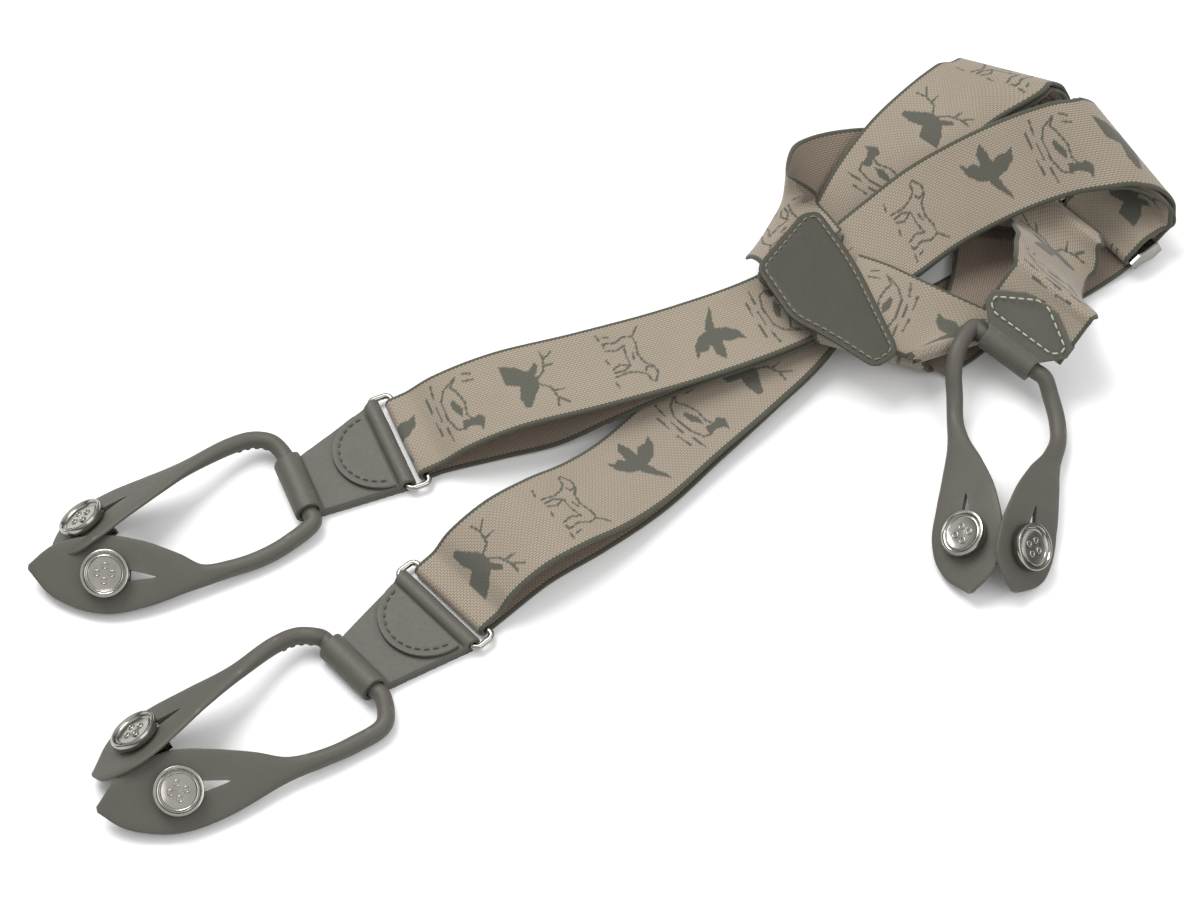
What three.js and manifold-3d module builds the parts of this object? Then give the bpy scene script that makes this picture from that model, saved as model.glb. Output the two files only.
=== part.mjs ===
// Y-back elastic suspenders with rolled-leather button loops and clip-on metal buttons.
// Millimetres, +Z up. The set lies on a flat surface at Z = 0: the two front ends point to -X,
// the back end to -Y, and the webbing is gathered in open folds around the leather Y patch.
import * as THREE from 'three';
import { mergeVertices } from 'three/addons/utils/BufferGeometryUtils.js';
import Module from 'manifold-3d';

const wasm = await Module();
wasm.setup();

// ---- driving dimensions ----
const WEB_WIDTH = 35; // elastic webbing
const WEB_THICK = 1.5;
const LEATHER = 1.8; // leather of the ears, the tab and the patch
const CLEARANCE = 0.35; // between pieces that touch or turn on each other
const CORD_RADIUS = 3; // rolled leather cord of a button loop
const LEAF_THICK = 2; // flat leaf at each end of a button loop
const LEAF_HALF = 13.6; // half the width of a leaf at its button
const RING_WIRE = 1.1; // wire radius of the rectangular ring
const RING_DEPTH = 8; // from the bar in the webbing to the bar in the leather
const RING_SIDE = 2.2; // room between the webbing's selvedge and the ring's end
const EAR_LENGTH = 36; // from the ring to the cord tunnel
const EAR_RING_HALF = 19.2; // half the ear's width at the ring, inside the ring's ends
const TUNNEL_HALF = 11.5; // half the length of the cord tunnel
const FLAP_RADIUS = 17; // half-round leather flap sewn on the ear
const TAB_LENGTH = 24; // back tab, from the cord tunnel to the webbing's entry
const BUTTON_RADIUS = 8.4;
const BUTTON_THICK = 3.2;
const POST_RADIUS = 1.7;
const BUTTON_GAP = 0.9; // between a leaf and the metal above and below it
const SLIT_LENGTH = 17; // triangular button slit in a leaf
const SLIT_HALF = 3.1;
const JAW_WIDTH = 11; // trouser clip behind each button
const JAW_LENGTH = 13;
const JAW_DEPTH = 6.2;
const SHEET = 0.9; // pressed sheet metal
const PIN_RADIUS = 0.7;
const PIN_FIT = 0.06; // running clearance of a pin in its hole
const ADJUSTER_WIDTH = 39; // slide adjuster across the webbing
const ADJUSTER_LENGTH = 12;
const PATCH_GAP = 0.4; // between the leather of the Y patch and the webbing inside it

// The lying set is centred over its own origin by this shift.
const CENTRE_X = 8.37;
const CENTRE_Y = 6.09;

// ---- finishes ----
const finish = (color, roughness, metalness) =>
  () => new THREE.MeshStandardMaterial({ color, roughness, metalness });
const webbing = finish(0xa5967f, 0.85, 0);
const leather = finish(0x58574e, 0.6, 0);
const patchLeather = finish(0x4b493d, 0.6, 0);
const chrome = finish(0xc9ccd0, 0.2, 1);

const suspenders = new THREE.Group();
suspenders.position.set(-CENTRE_X, -CENTRE_Y, 0);

function addPiece(name, geometry, material, parent = suspenders) {
  const piece = new THREE.Mesh(geometry, material());
  piece.name = name;
  parent.add(piece);
  return piece;
}

// ---- solids ----
const vector = ([x, y, z]) => new THREE.Vector3(x, y, z);
const mix = THREE.MathUtils.lerp;

function toManifold(geometry) {
  const bare = geometry.clone();
  bare.deleteAttribute('normal');
  bare.deleteAttribute('uv');
  const merged = mergeVertices(bare, 1e-4);
  return new wasm.Manifold(new wasm.Mesh({
    numProp: 3,
    vertProperties: new Float32Array(merged.attributes.position.array),
    triVerts: new Uint32Array(merged.index.array),
  }));
}

function toGeometry(solid) {
  const mesh = solid.getMesh();
  const geometry = new THREE.BufferGeometry();
  geometry.setAttribute('position', new THREE.BufferAttribute(mesh.vertProperties, 3));
  geometry.setIndex(new THREE.BufferAttribute(mesh.triVerts, 1));
  return geometry;
}

function combine(first, ...rest) {
  const steps = { add: 'add', cut: 'subtract', keep: 'intersect' };
  let solid = toManifold(first);
  for (const [step, geometry] of rest) {
    solid = solid[steps[step]](toManifold(geometry));
  }
  return toGeometry(solid);
}

// Extrudes an XY outline upwards from z = low to z = high.
function slab(shape, low, high, curveSegments = 8) {
  const settings = { depth: high - low, bevelEnabled: false, curveSegments };
  return new THREE.ExtrudeGeometry(shape, settings).translate(0, 0, low);
}

function outline(points) {
  const shape = new THREE.Shape();
  points.forEach(([x, y], i) => (i ? shape.lineTo(x, y) : shape.moveTo(x, y)));
  shape.closePath();
  return shape;
}

function box(sizeX, sizeY, sizeZ, x = 0, y = 0, z = 0) {
  return new THREE.BoxGeometry(sizeX, sizeY, sizeZ).translate(x, y, z);
}

// ---- routes: a middle line with a direction across it ----
// A stop is [middle point, direction across, bow]. The bow is how far the middle of the band
// stands out of the line between its two edges. Values pass smoothly from stop to stop.
function valueBetween(stops, item, index, share) {
  const at = (k) => stops[THREE.MathUtils.clamp(k, 0, stops.length - 1)][item];
  const rise = at(index + 1) - at(index);
  const start = (at(index + 1) - at(index - 1)) / 2;
  const end = (at(index + 2) - at(index)) / 2;
  const bend = 3 * rise - 2 * start - end + share * (start + end - 2 * rise);
  return at(index) + share * (start + share * bend);
}

function makeRoute(stops) {
  const middle = new THREE.CatmullRomCurve3(stops.map(([point]) => vector(point)), false, 'centripetal');
  middle.arcLengthDivisions = stops.length * 24;
  const across = new THREE.CatmullRomCurve3(
    stops.map(([, side]) => vector(side).normalize()), false, 'catmullrom', 0.5);
  const last = stops.length - 1;
  const frameAt = (t) => {
    const along = middle.getTangent(t);
    const side = across.getPoint(t).normalize();
    const up = new THREE.Vector3().crossVectors(along, side);
    const squareness = Math.max(up.length(), 0.5);
    up.normalize();
    const index = Math.min(Math.floor(t * last), last - 1);
    const share = t * last - index;
    const values = stops[index].slice(2).map((value, i) => valueBetween(stops, i + 2, index, share));
    return { point: middle.getPoint(t), along, side, up, squareness, values };
  };
  return { frameAt, middle };
}

// Frames at every stop and, on the longer stretches, about one step apart.
function routeFrames(stops, step) {
  const route = makeRoute(stops);
  const last = stops.length - 1;
  const lengths = route.middle.getLengths(route.middle.arcLengthDivisions);
  const lengthAt = (index) => lengths[Math.round((index / last) * route.middle.arcLengthDivisions)];
  const frames = [];
  for (let i = 0; i < last; i += 1) {
    const parts = Math.max(1, Math.round((lengthAt(i + 1) - lengthAt(i)) / step));
    for (let part = 0; part < parts; part += 1) {
      frames.push(route.frameAt((i + part / parts) / last));
    }
  }
  frames.push(route.frameAt(1));
  return frames;
}

// Webbing: a flat band bent along its route.
function bandGeometry(stops, width, thick, step) {
  const frames = routeFrames(stops, step);
  const steps = frames.length - 1;
  const geometry = new THREE.BoxGeometry(1, 1, 1, steps, 4, 1);
  const position = geometry.attributes.position;
  for (let i = 0; i < position.count; i += 1) {
    const frame = frames[Math.round((position.getX(i) + 0.5) * steps)];
    const share = position.getY(i) * 2;
    const bow = frame.values[0];
    const half = Math.sqrt((width / 2) ** 2 - (4 / 3) * bow ** 2) / frame.squareness;
    const lift = -bow * share * share + position.getZ(i) * thick;
    const lean = (2 * bow * share) / half;
    const spread = half * share + position.getZ(i) * thick * lean / Math.hypot(1, lean);
    const p = frame.point.clone().addScaledVector(frame.side, spread).addScaledVector(frame.up, lift);
    position.setXYZ(i, p.x, p.y, p.z);
  }
  return geometry;
}

// Leather loop: leaf, rolled cord, leaf. Each stop also gives the half width, the half thickness
// and how square the section is (2 is an ellipse).
function leatherGeometry(stops, step, sides) {
  const frames = routeFrames(stops, step);
  const steps = frames.length - 1;
  const geometry = new THREE.CylinderGeometry(1, 1, 1, sides, steps);
  const position = geometry.attributes.position;
  const power = (value, n) => (Math.abs(value) < 1e-6 ? 0 : Math.sign(value) * Math.abs(value) ** (2 / n));
  for (let i = 0; i < position.count; i += 1) {
    const frame = frames[Math.round((0.5 - position.getY(i)) * steps)];
    const [halfWidth, halfThick, square] = frame.values;
    const p = frame.point.clone();
    const side = new THREE.Vector3().crossVectors(frame.up, frame.along);
    p.addScaledVector(side, power(position.getX(i), square) * halfWidth);
    p.addScaledVector(frame.up, power(position.getZ(i), square) * halfThick);
    position.setXYZ(i, p.x, p.y, p.z);
  }
  return geometry;
}

// ---- rings and leather ears of the two front ends ----
const FOLD_RADIUS = RING_WIRE + CLEARANCE + WEB_THICK / 2; // webbing round the ring's bar
const TUNNEL_RADIUS = CORD_RADIUS + CLEARANCE;
const EAR_LOW = 0;
const RING_Z = EAR_LOW + LEATHER + RING_WIRE + CLEARANCE;
const TUNNEL_Z = EAR_LOW + LEATHER + TUNNEL_RADIUS;
const EAR_TOP = EAR_LOW + 2 * LEATHER + 0.6;

const ends = {
  left: { bar: [-67.8, 3.0], angle: 203, skew: 6 },
  right: { bar: [-50.3, -64.2], angle: 223, skew: -1.5 },
};

function placeAt(frame, parent = suspenders) {
  const group = new THREE.Group();
  group.position.set(frame.bar[0], frame.bar[1], 0);
  group.rotation.z = THREE.MathUtils.degToRad(frame.angle);
  parent.add(group);
  group.updateMatrix();
  return group;
}

function ringGeometry() {
  const half = WEB_WIDTH / 2 + RING_SIDE + RING_WIRE;
  const corner = 2.2;
  const points = [];
  const corners = [[RING_DEPTH - corner, half - corner, 0], [corner, half - corner, 90],
    [corner, corner - half, 180], [RING_DEPTH - corner, corner - half, 270]];
  for (const [x, y, start] of corners) {
    for (let turn = 0; turn <= 90; turn += 30) {
      const angle = THREE.MathUtils.degToRad(start + turn);
      points.push(new THREE.Vector3(x + corner * Math.cos(angle), y + corner * Math.sin(angle), RING_Z));
    }
  }
  const path = new THREE.CurvePath();
  points.forEach((point, i) => path.add(new THREE.LineCurve3(point, points[(i + 1) % points.length])));
  const count = points.length;
  const geometry = new THREE.TorusGeometry(1, 0.5, 10, count);
  const position = geometry.attributes.position;
  for (let i = 0; i < position.count; i += 1) {
    const turn = Math.atan2(position.getY(i), position.getX(i));
    const index = Math.round((turn / (2 * Math.PI)) * count + count) % count;
    const radial = (Math.hypot(position.getX(i), position.getY(i)) - 1) / 0.5;
    const before = points[(index + count - 1) % count];
    const after = points[(index + 1) % count];
    const along = after.clone().sub(before).normalize();
    const outward = new THREE.Vector3(along.y, -along.x, 0);
    const p = points[index].clone().addScaledVector(outward, radial * RING_WIRE);
    position.setXYZ(i, p.x, p.y, RING_Z + (position.getZ(i) / 0.5) * RING_WIRE);
  }
  return geometry;
}

// Side view of a folded leather piece: a loop round the bar or slot at x = 0 and a loop round
// the cord at x = length, drawn in X (along) and Y (up), then extruded across and tapered.
function foldedSide(length, nearLoop, farLoop, low, top) {
  const shape = new THREE.Shape();
  const nearTop = Math.asin((top - nearLoop.z) / nearLoop.outer);
  const farTop = Math.PI - Math.asin((top - farLoop.z) / farLoop.outer);
  shape.moveTo(0, low);
  shape.absarc(0, nearLoop.z, nearLoop.outer, -Math.PI / 2, -2 * Math.PI + nearTop, true);
  shape.absarc(length, farLoop.z, farLoop.outer, farTop, -Math.PI / 2, true);
  shape.closePath();
  for (const [x, loop] of [[0, nearLoop], [length, farLoop]]) {
    const hole = new THREE.Path();
    hole.absarc(x, loop.z, loop.inner, 0, 2 * Math.PI, false);
    shape.holes.push(hole);
  }
  return shape;
}

function taperAcross(geometry, length, nearHalf, farHalf, skew) {
  const position = geometry.attributes.position;
  for (let i = 0; i < position.count; i += 1) {
    const x = position.getX(i);
    const up = position.getY(i);
    const share = THREE.MathUtils.clamp(x / length, 0, 1);
    const half = mix(nearHalf, farHalf, share ** 0.8);
    position.setXYZ(i, x, -position.getZ(i) * half + skew * share, up);
  }
  return geometry;
}

function earGeometry(skew) {
  const ringLoop = { z: RING_Z, inner: RING_WIRE + CLEARANCE, outer: RING_WIRE + CLEARANCE + LEATHER };
  const cordLoop = { z: TUNNEL_Z, inner: TUNNEL_RADIUS, outer: TUNNEL_RADIUS + LEATHER };
  const side = foldedSide(EAR_LENGTH, ringLoop, cordLoop, EAR_LOW, EAR_TOP);
  const geometry = new THREE.ExtrudeGeometry(side, { depth: 2, bevelEnabled: false, curveSegments: 10 });
  geometry.translate(0, 0, -1);
  taperAcross(geometry, EAR_LENGTH, EAR_RING_HALF, TUNNEL_HALF, skew);
  return geometry.translate(RING_DEPTH, 0, 0);
}

function earFlapGeometry(skew) {
  const start = RING_DEPTH + RING_WIRE + CLEARANCE + LEATHER + 0.6;
  const shape = new THREE.Shape();
  shape.moveTo(start, -FLAP_RADIUS);
  shape.absellipse(start, 0, FLAP_RADIUS, FLAP_RADIUS, -Math.PI / 2, Math.PI / 2, false, 0);
  shape.closePath();
  const flap = slab(shape, EAR_TOP + CLEARANCE, EAR_TOP + CLEARANCE + LEATHER * 0.7, 12);
  return flap.translate(0, skew * 0.25, 0);
}

// ---- clip-on buttons ----
// Each is modelled with +Z out of the leaf's face and its origin in the middle of the leather.
const JAW_TOP = -(LEAF_THICK / 2 + BUTTON_GAP);
const JAW_LOW = JAW_TOP - JAW_DEPTH;
const EYE_RADIUS = PIN_RADIUS + PIN_FIT + SHEET;
const PIN_X = -JAW_LENGTH / 2 + SHEET + CLEARANCE + EYE_RADIUS;
const PIN_Z = JAW_LOW + EYE_RADIUS + 0.4;

function buttonGeometry() {
  const low = LEAF_THICK / 2 + BUTTON_GAP;
  const high = low + BUTTON_THICK;
  const rim = BUTTON_RADIUS - 1.4;
  const profile = [
    [0, JAW_TOP - SHEET - CLEARANCE - 0.7], [POST_RADIUS + 1, JAW_TOP - SHEET - CLEARANCE - 0.7],
    [POST_RADIUS + 1, JAW_TOP - SHEET - CLEARANCE], [POST_RADIUS, JAW_TOP - SHEET - CLEARANCE],
    [POST_RADIUS, low], [BUTTON_RADIUS - 0.5, low], [BUTTON_RADIUS, low + 0.6],
    [BUTTON_RADIUS, high - 0.6], [BUTTON_RADIUS - 0.5, high], [rim, high], [rim - 0.9, high - 1.1],
    [0, high - 1.1],
  ];
  const disc = new THREE.LatheGeometry(profile.map(([r, z]) => new THREE.Vector2(r, z)), 20);
  return disc.rotateX(Math.PI / 2);
}

// The jaw is a pressed channel: a top plate with the post's hole, two cheeks and a toothed lip.
function jawGeometry() {
  const outer = box(JAW_LENGTH, JAW_WIDTH, JAW_DEPTH, 0, 0, JAW_TOP - JAW_DEPTH / 2);
  const inner = box(JAW_LENGTH, JAW_WIDTH - 2 * SHEET, JAW_DEPTH, SHEET, 0, JAW_TOP - SHEET - JAW_DEPTH / 2);
  const nose = box(JAW_LENGTH, JAW_WIDTH + 2, JAW_DEPTH, JAW_LENGTH * 0.55, 0, JAW_LOW - 0.6);
  const post = new THREE.CylinderGeometry(POST_RADIUS + CLEARANCE, POST_RADIUS + CLEARANCE, 6, 16);
  post.rotateX(Math.PI / 2);
  post.translate(0, 0, JAW_TOP);
  const pinHole = new THREE.CylinderGeometry(PIN_RADIUS + PIN_FIT, PIN_RADIUS + PIN_FIT, JAW_WIDTH + 2, 12);
  pinHole.translate(PIN_X, 0, PIN_Z);
  const steps = [['cut', inner], ['cut', nose], ['cut', post], ['cut', pinHole]];
  const toothWidth = 1.2;
  for (let y = -3.6; y <= 3.61; y += 2.4) {
    const tooth = outline([[0, 0], [SHEET, 0], [SHEET, 1.5]]);
    const solid = slab(tooth, -toothWidth / 2, toothWidth / 2).rotateX(-Math.PI / 2);
    steps.push(['add', solid.translate(JAW_LENGTH / 2 - SHEET, y, JAW_TOP - SHEET + 0.01)]);
  }
  return combine(outer, ...steps);
}

// The lever turns on the pin and presses the trouser band against the jaw's teeth.
function leverGeometry() {
  const width = JAW_WIDTH - 2 * SHEET - 2 * CLEARANCE;
  const eye = new THREE.CylinderGeometry(EYE_RADIUS, EYE_RADIUS, width, 16);
  eye.translate(PIN_X, 0, PIN_Z);
  const plateLength = JAW_LENGTH / 2 - PIN_X + 0.5;
  const plateZ = PIN_Z - EYE_RADIUS + SHEET / 2 + 0.05;
  const plate = box(plateLength, width, SHEET, PIN_X + plateLength / 2, 0, plateZ);
  const bore = new THREE.CylinderGeometry(PIN_RADIUS + PIN_FIT, PIN_RADIUS + PIN_FIT, width + 2, 12);
  bore.translate(PIN_X, 0, PIN_Z);
  return combine(eye, ['add', plate], ['cut', bore]);
}

function pinGeometry(length) {
  return new THREE.CylinderGeometry(PIN_RADIUS, PIN_RADIUS, length, 12);
}

function addClip(name, parent) {
  addPiece(`${name}_button`, buttonGeometry(), chrome, parent);
  addPiece(`${name}_jaw`, jawGeometry(), chrome, parent);
  addPiece(`${name}_lever`, leverGeometry(), chrome, parent);
  addPiece(`${name}_pin`, pinGeometry(JAW_WIDTH).translate(PIN_X, 0, PIN_Z), chrome, parent);
}

// ---- button loops ----
const FLAT = LEAF_THICK / 2;
const ROUND = CORD_RADIUS;

// Half widths of a leaf as shares of its widest, from the tip to where it rolls into the cord.
function leafStops(points, side) {
  const shares = [0.08, 0.55, 0.88, 1, 0.86, 0.58, 0.3];
  const thick = [FLAT, FLAT, FLAT, FLAT, FLAT * 1.05, FLAT * 1.3, FLAT * 2];
  const square = [3, 4, 4, 4, 4, 3, 2.4];
  return points.map((point, i) => [point, side, LEAF_HALF * shares[i], thick[i], square[i]]);
}

function cordStops(points, sides) {
  return points.map((point, i) => [point, sides[i] ?? sides.at(-1), ROUND, ROUND, 2]);
}

// The cord passes its tunnel in a straight line that runs on a little beyond each mouth.
function tunnelPoints(group, x, y, z) {
  return [-TUNNEL_HALF - 4, -TUNNEL_HALF, 0, TUNNEL_HALF, TUNNEL_HALF + 4].map((offset) =>
    new THREE.Vector3(x, y + offset, z).applyMatrix4(group.matrix).toArray());
}

// Cuts the triangular slit: its wide end holds the post and it narrows towards the cord.
function cutSlit(geometry, clip) {
  const wide = [[1, SLIT_HALF], [-2.6, SLIT_HALF], [-2.6, -SLIT_HALF], [1, -SLIT_HALF]];
  const slit = outline([[SLIT_LENGTH, 0], ...wide]);
  const cutter = slab(slit, -6, 6).applyMatrix4(clip.matrix);
  return combine(geometry, ['cut', cutter]);
}

// A clip's frame: +Z out of the leaf, +X along the leaf towards the cord.
function clipFrame(stops, index) {
  const share = index / (stops.length - 1);
  const frame = makeRoute(stops).frameAt(share);
  const toCord = share < 0.5 ? 1 : -1;
  const group = new THREE.Group();
  const x = frame.along.clone().multiplyScalar(toCord);
  const y = new THREE.Vector3().crossVectors(frame.up, x);
  group.matrixAutoUpdate = false;
  group.matrix.makeBasis(x, y, frame.up).setPosition(frame.point);
  return group;
}

function addButtonLoop(name, stops) {
  let solid = leatherGeometry(stops, 4.5, 10);
  const buttonStops = { a: 3, b: stops.length - 4 };
  for (const [letter, index] of Object.entries(buttonStops)) {
    const clip = clipFrame(stops, index);
    solid = cutSlit(solid, clip);
    suspenders.add(clip);
    addClip(`clip_${name}_${letter}`, clip);
  }
  addPiece(`button_loop_${name}`, solid, leather);
}

// ---- front ends ----
const groups = {};
for (const [name, end] of Object.entries(ends)) {
  const group = placeAt(end);
  groups[name] = group;
  addPiece(`ring_${name}`, ringGeometry(), chrome, group);
  addPiece(`ear_${name}`, earGeometry(end.skew), leather, group);
  addPiece(`ear_flap_${name}`, earFlapGeometry(end.skew), leather, group);
}

const LEVEL = [0, 0.88, 0.47];
const LEANING = [0.34, -0.8, 0.5];
const TURNING = [[0.1, -0.99, 0], [0.34, -0.9, 0.3]];
const mouths = {
  left: tunnelPoints(groups.left, RING_DEPTH + EAR_LENGTH, ends.left.skew, TUNNEL_Z),
  right: tunnelPoints(groups.right, RING_DEPTH + EAR_LENGTH, ends.right.skew, TUNNEL_Z),
};

addButtonLoop('left', [
  ...leafStops([[-196.5, -54.5, 7.5], [-190, -55.6, 8.4], [-180, -57.5, 9.4], [-169, -59, 9.9],
    [-157, -58.7, 9.4], [-146, -57.9, 8], [-137, -56.8, 5.8]], LEVEL),
  ...cordStops([[-127.5, -53, 4.4], [-117.5, -48.5, 3.8], [-108.5, -42.5, 4]], [LEVEL]),
  ...cordStops([...mouths.left].reverse(), [[-0.9, -0.4, 0]]),
  ...cordStops([[-116.5, -1.2, 6.4], [-123, -0.6, 7.2], [-130, -4, 8.6]], TURNING),
  ...leafStops([[-189.5, -50, 6.4], [-186.5, -47.2, 7.6], [-183, -44.1, 9.1], [-177.5, -39.6, 11.2],
    [-167.5, -32.8, 13.5], [-156, -25, 14], [-145, -16.5, 12.5]], LEANING).reverse(),
]);

addButtonLoop('right', [
  ...leafStops([[-164, -148.5, 7.5], [-157.5, -147.4, 8.4], [-148, -145.3, 9.4], [-137.5, -143, 9.9],
    [-125.5, -140, 9.4], [-113, -136, 8], [-102.5, -132.4, 5.8]], LEVEL),
  ...cordStops([[-91.5, -127.5, 4.4], [-81.5, -122, 3.8], [-72, -114.5, 4]], [LEVEL]),
  ...cordStops([...mouths.right].reverse(), [[-0.7, -0.7, 0]]),
  ...cordStops([[-96, -81.8, 6.4], [-102.5, -82, 7.2], [-109.5, -86.5, 9]], TURNING),
  ...leafStops([[-167, -134, 4], [-163.5, -132.4, 7], [-158.5, -129.4, 10], [-151.5, -125, 12.6],
    [-143.5, -118.8, 14.4], [-133.5, -110.5, 15], [-121.5, -99.5, 12.8]], LEANING).reverse(),
]);

// ---- back end ----
// The tab's frame: +X towards the loop, +Y across, origin on the axis of the cord tunnel.
const TAB_ORIGIN = [146.8, 32, 15.5];
const TAB_ACROSS = [0.77, -0.6, -0.18];
const TAB_ALONG = [-0.4, -0.55, -0.66];

function frameGroup(origin, along, across) {
  const y = vector(across).normalize();
  const x = vector(along).addScaledVector(y, -vector(along).dot(y)).normalize();
  const group = new THREE.Group();
  group.matrixAutoUpdate = false;
  group.matrix.makeBasis(x, y, new THREE.Vector3().crossVectors(x, y)).setPosition(...origin);
  suspenders.add(group);
  return group;
}

const tabGroup = frameGroup(TAB_ORIGIN, TAB_ALONG, TAB_ACROSS);
const TAB_SLOT = WEB_THICK / 2 + CLEARANCE;
const TAB_HALF_THICK = TAB_SLOT + LEATHER;
const TAB_HALF = WEB_WIDTH / 2 + 0.3;
const TAB_SLOT_END = -TUNNEL_RADIUS - LEATHER;

function backTabGeometry() {
  const outer = TUNNEL_RADIUS + LEATHER;
  const side = new THREE.Shape();
  const start = Math.PI - Math.asin(TAB_HALF_THICK / outer);
  side.moveTo(-TAB_LENGTH, TAB_HALF_THICK);
  side.absarc(0, 0, outer, start, -start, true);
  side.lineTo(-TAB_LENGTH, -TAB_HALF_THICK);
  side.lineTo(-TAB_LENGTH, -TAB_SLOT);
  side.lineTo(TAB_SLOT_END, -TAB_SLOT);
  side.lineTo(TAB_SLOT_END, TAB_SLOT);
  side.lineTo(-TAB_LENGTH, TAB_SLOT);
  side.closePath();
  const hole = new THREE.Path();
  hole.absarc(0, 0, TUNNEL_RADIUS, 0, 2 * Math.PI, false);
  side.holes.push(hole);
  const body = new THREE.ExtrudeGeometry(side, { depth: 60, bevelEnabled: false, curveSegments: 10 });
  body.translate(0, 0, -30).rotateX(Math.PI / 2);
  const neck = TUNNEL_HALF - 1;
  const shoulder = 9 - TAB_LENGTH;
  const half = [[-TAB_LENGTH, 3], [shoulder, TAB_HALF], [shoulder + 5, TAB_HALF], [-3, neck], [8, neck]];
  const mirrored = half.map(([x, y]) => [x, -y]).reverse();
  return combine(body, ['keep', slab(outline([...half, ...mirrored]), -20, 20)]);
}

addPiece('back_tab', backTabGeometry(), leather, tabGroup);

const inTab = (x) => new THREE.Vector3(x, 0, 0).applyMatrix4(tabGroup.matrix).toArray();

const LEFT_LEAF_SIDE = [-0.84, 0.1, -0.54];
const RIGHT_LEAF_SIDE = [0.76, 0.05, -0.65];
const backMouth = tunnelPoints(tabGroup, 0, 0, 0);
addButtonLoop('back', [
  ...leafStops([[126.8, -64, 6.1], [126.9, -59.5, 7.3], [126.9, -53, 9], [126.8, -44.5, 11.1],
    [127.2, -31, 12.8], [127.2, -16, 11.2], [126.8, -2, 8.2]], LEFT_LEAF_SIDE),
  ...cordStops([[126.6, 8.5, 6.5], [126.7, 16.5, 9.5], [126.4, 23.5, 14.5], [128, 31, 18.5]],
    [LEFT_LEAF_SIDE, [-0.95, 0, -0.3], [-0.95, 0, -0.3], [-0.7, 0.6, 0.2]]),
  ...cordStops(backMouth, [TAB_ALONG.map((value) => -value)]),
  ...cordStops([[161, 17.5, 9], [163, 8.5, 6], [162.8, 0.5, 5]], [[0.9, 0.3, -0.1], [0.9, 0.1, -0.4]]),
  ...leafStops([[142, -64, 6.7], [142.9, -60.5, 7.7], [144.2, -56, 9], [146.4, -49, 11.1],
    [150.6, -35.5, 12.8], [155.2, -21.5, 11], [159.4, -9.5, 7.4]], RIGHT_LEAF_SIDE).reverse(),
]);

// ---- Y patch ----
// Two leathers sewn through the three straps that meet between them.
const PATCH_ORIGIN = [82, 56, 21.7];
const PATCH_SLOPE_X = -0.07;
const PATCH_SLOPE_Y = 0.055;
const patchGroup = frameGroup(PATCH_ORIGIN, [1, 0, PATCH_SLOPE_X], [0, 1, PATCH_SLOPE_Y]);
const UPPER_LAYER = WEB_THICK / 2 + 0.25;
const LOWER_LAYER = -UPPER_LAYER;
const PATCH_LEATHER = 1.2;
const PATCH_FACE = 2 * UPPER_LAYER - 0.25 + PATCH_GAP;

// Corners are [x, y, rounding].
const FRONT_CORNERS = [[-8.5, 31, 2.8], [-2, 32.5, 2.8], [10.5, 11, 12], [24.8, -28.5, 4.5], [15.5, -36, 4.5],
  [-2, -22.5, 9], [-14, -16, 5], [-26, 6, 4]];
const BACK_CORNERS = [[-8.5, 31, 2.8], [-2, 32.5, 2.8], [9, 13, 6], [11, 2, 4], [-4, -5, 4],
  [-17, -3, 4], [-26, 6, 4]];

function patchOutline(corners) {
  const shape = new THREE.Shape();
  corners.forEach(([x, y, radius], i) => {
    const corner = new THREE.Vector2(x, y);
    const before = new THREE.Vector2(...corners[(i + corners.length - 1) % corners.length]);
    const after = new THREE.Vector2(...corners[(i + 1) % corners.length]);
    const start = corner.clone().add(before.sub(corner).clampLength(0, radius));
    const end = corner.clone().add(after.sub(corner).clampLength(0, radius));
    if (i) {
      shape.lineTo(start.x, start.y);
    } else {
      shape.moveTo(start.x, start.y);
    }
    shape.quadraticCurveTo(x, y, end.x, end.y);
  });
  shape.closePath();
  return shape;
}

function patchGeometry(corners, low) {
  return slab(patchOutline(corners), low, low + PATCH_LEATHER, 5);
}

addPiece('y_patch_front', patchGeometry(FRONT_CORNERS, PATCH_FACE), patchLeather, patchGroup);
addPiece('y_patch_back', patchGeometry(BACK_CORNERS, -PATCH_FACE - PATCH_LEATHER), patchLeather, patchGroup);

// A stop between the two leathers, in the upper or the lower layer of webbing.
function inPatch(x, y, layer, acrossX, acrossY) {
  const [x0, y0, z0] = PATCH_ORIGIN;
  const z = z0 + (x - x0) * PATCH_SLOPE_X + (y - y0) * PATCH_SLOPE_Y + layer;
  return [[x, y, z], [acrossX, acrossY, acrossX * PATCH_SLOPE_X + acrossY * PATCH_SLOPE_Y], 0];
}

// ---- webbing ----
// Stops round a roll: the middle line follows a helix about the axis with the outer face outwards.
// The first centre belongs to the first angle; 0 degrees looks along "outward" and 90 upwards.
function rollStops(centre, axis, outward, radius, slant, angles) {
  const a = vector(axis).normalize();
  const out = vector(outward).addScaledVector(a, -vector(outward).dot(a)).normalize();
  const up = new THREE.Vector3().crossVectors(out, a);
  up.multiplyScalar(Math.sign(up.z));
  const sense = Math.sign(angles[1] - angles[0]);
  return angles.map((degrees) => {
    const turn = THREE.MathUtils.degToRad(degrees);
    const swept = Math.abs(THREE.MathUtils.degToRad(degrees - angles[0]));
    const radial = out.clone().multiplyScalar(Math.cos(turn)).addScaledVector(up, Math.sin(turn));
    const round = out.clone().multiplyScalar(-Math.sin(turn)).addScaledVector(up, Math.cos(turn));
    const along = round.multiplyScalar(sense).addScaledVector(a, slant).normalize();
    const point = vector(centre).addScaledVector(a, slant * radius * swept).addScaledVector(radial, radius);
    const facing = Math.sign(new THREE.Vector3().crossVectors(radial, along).dot(a));
    return [point.toArray(), a.clone().multiplyScalar(facing).toArray(), 0];
  });
}

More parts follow.
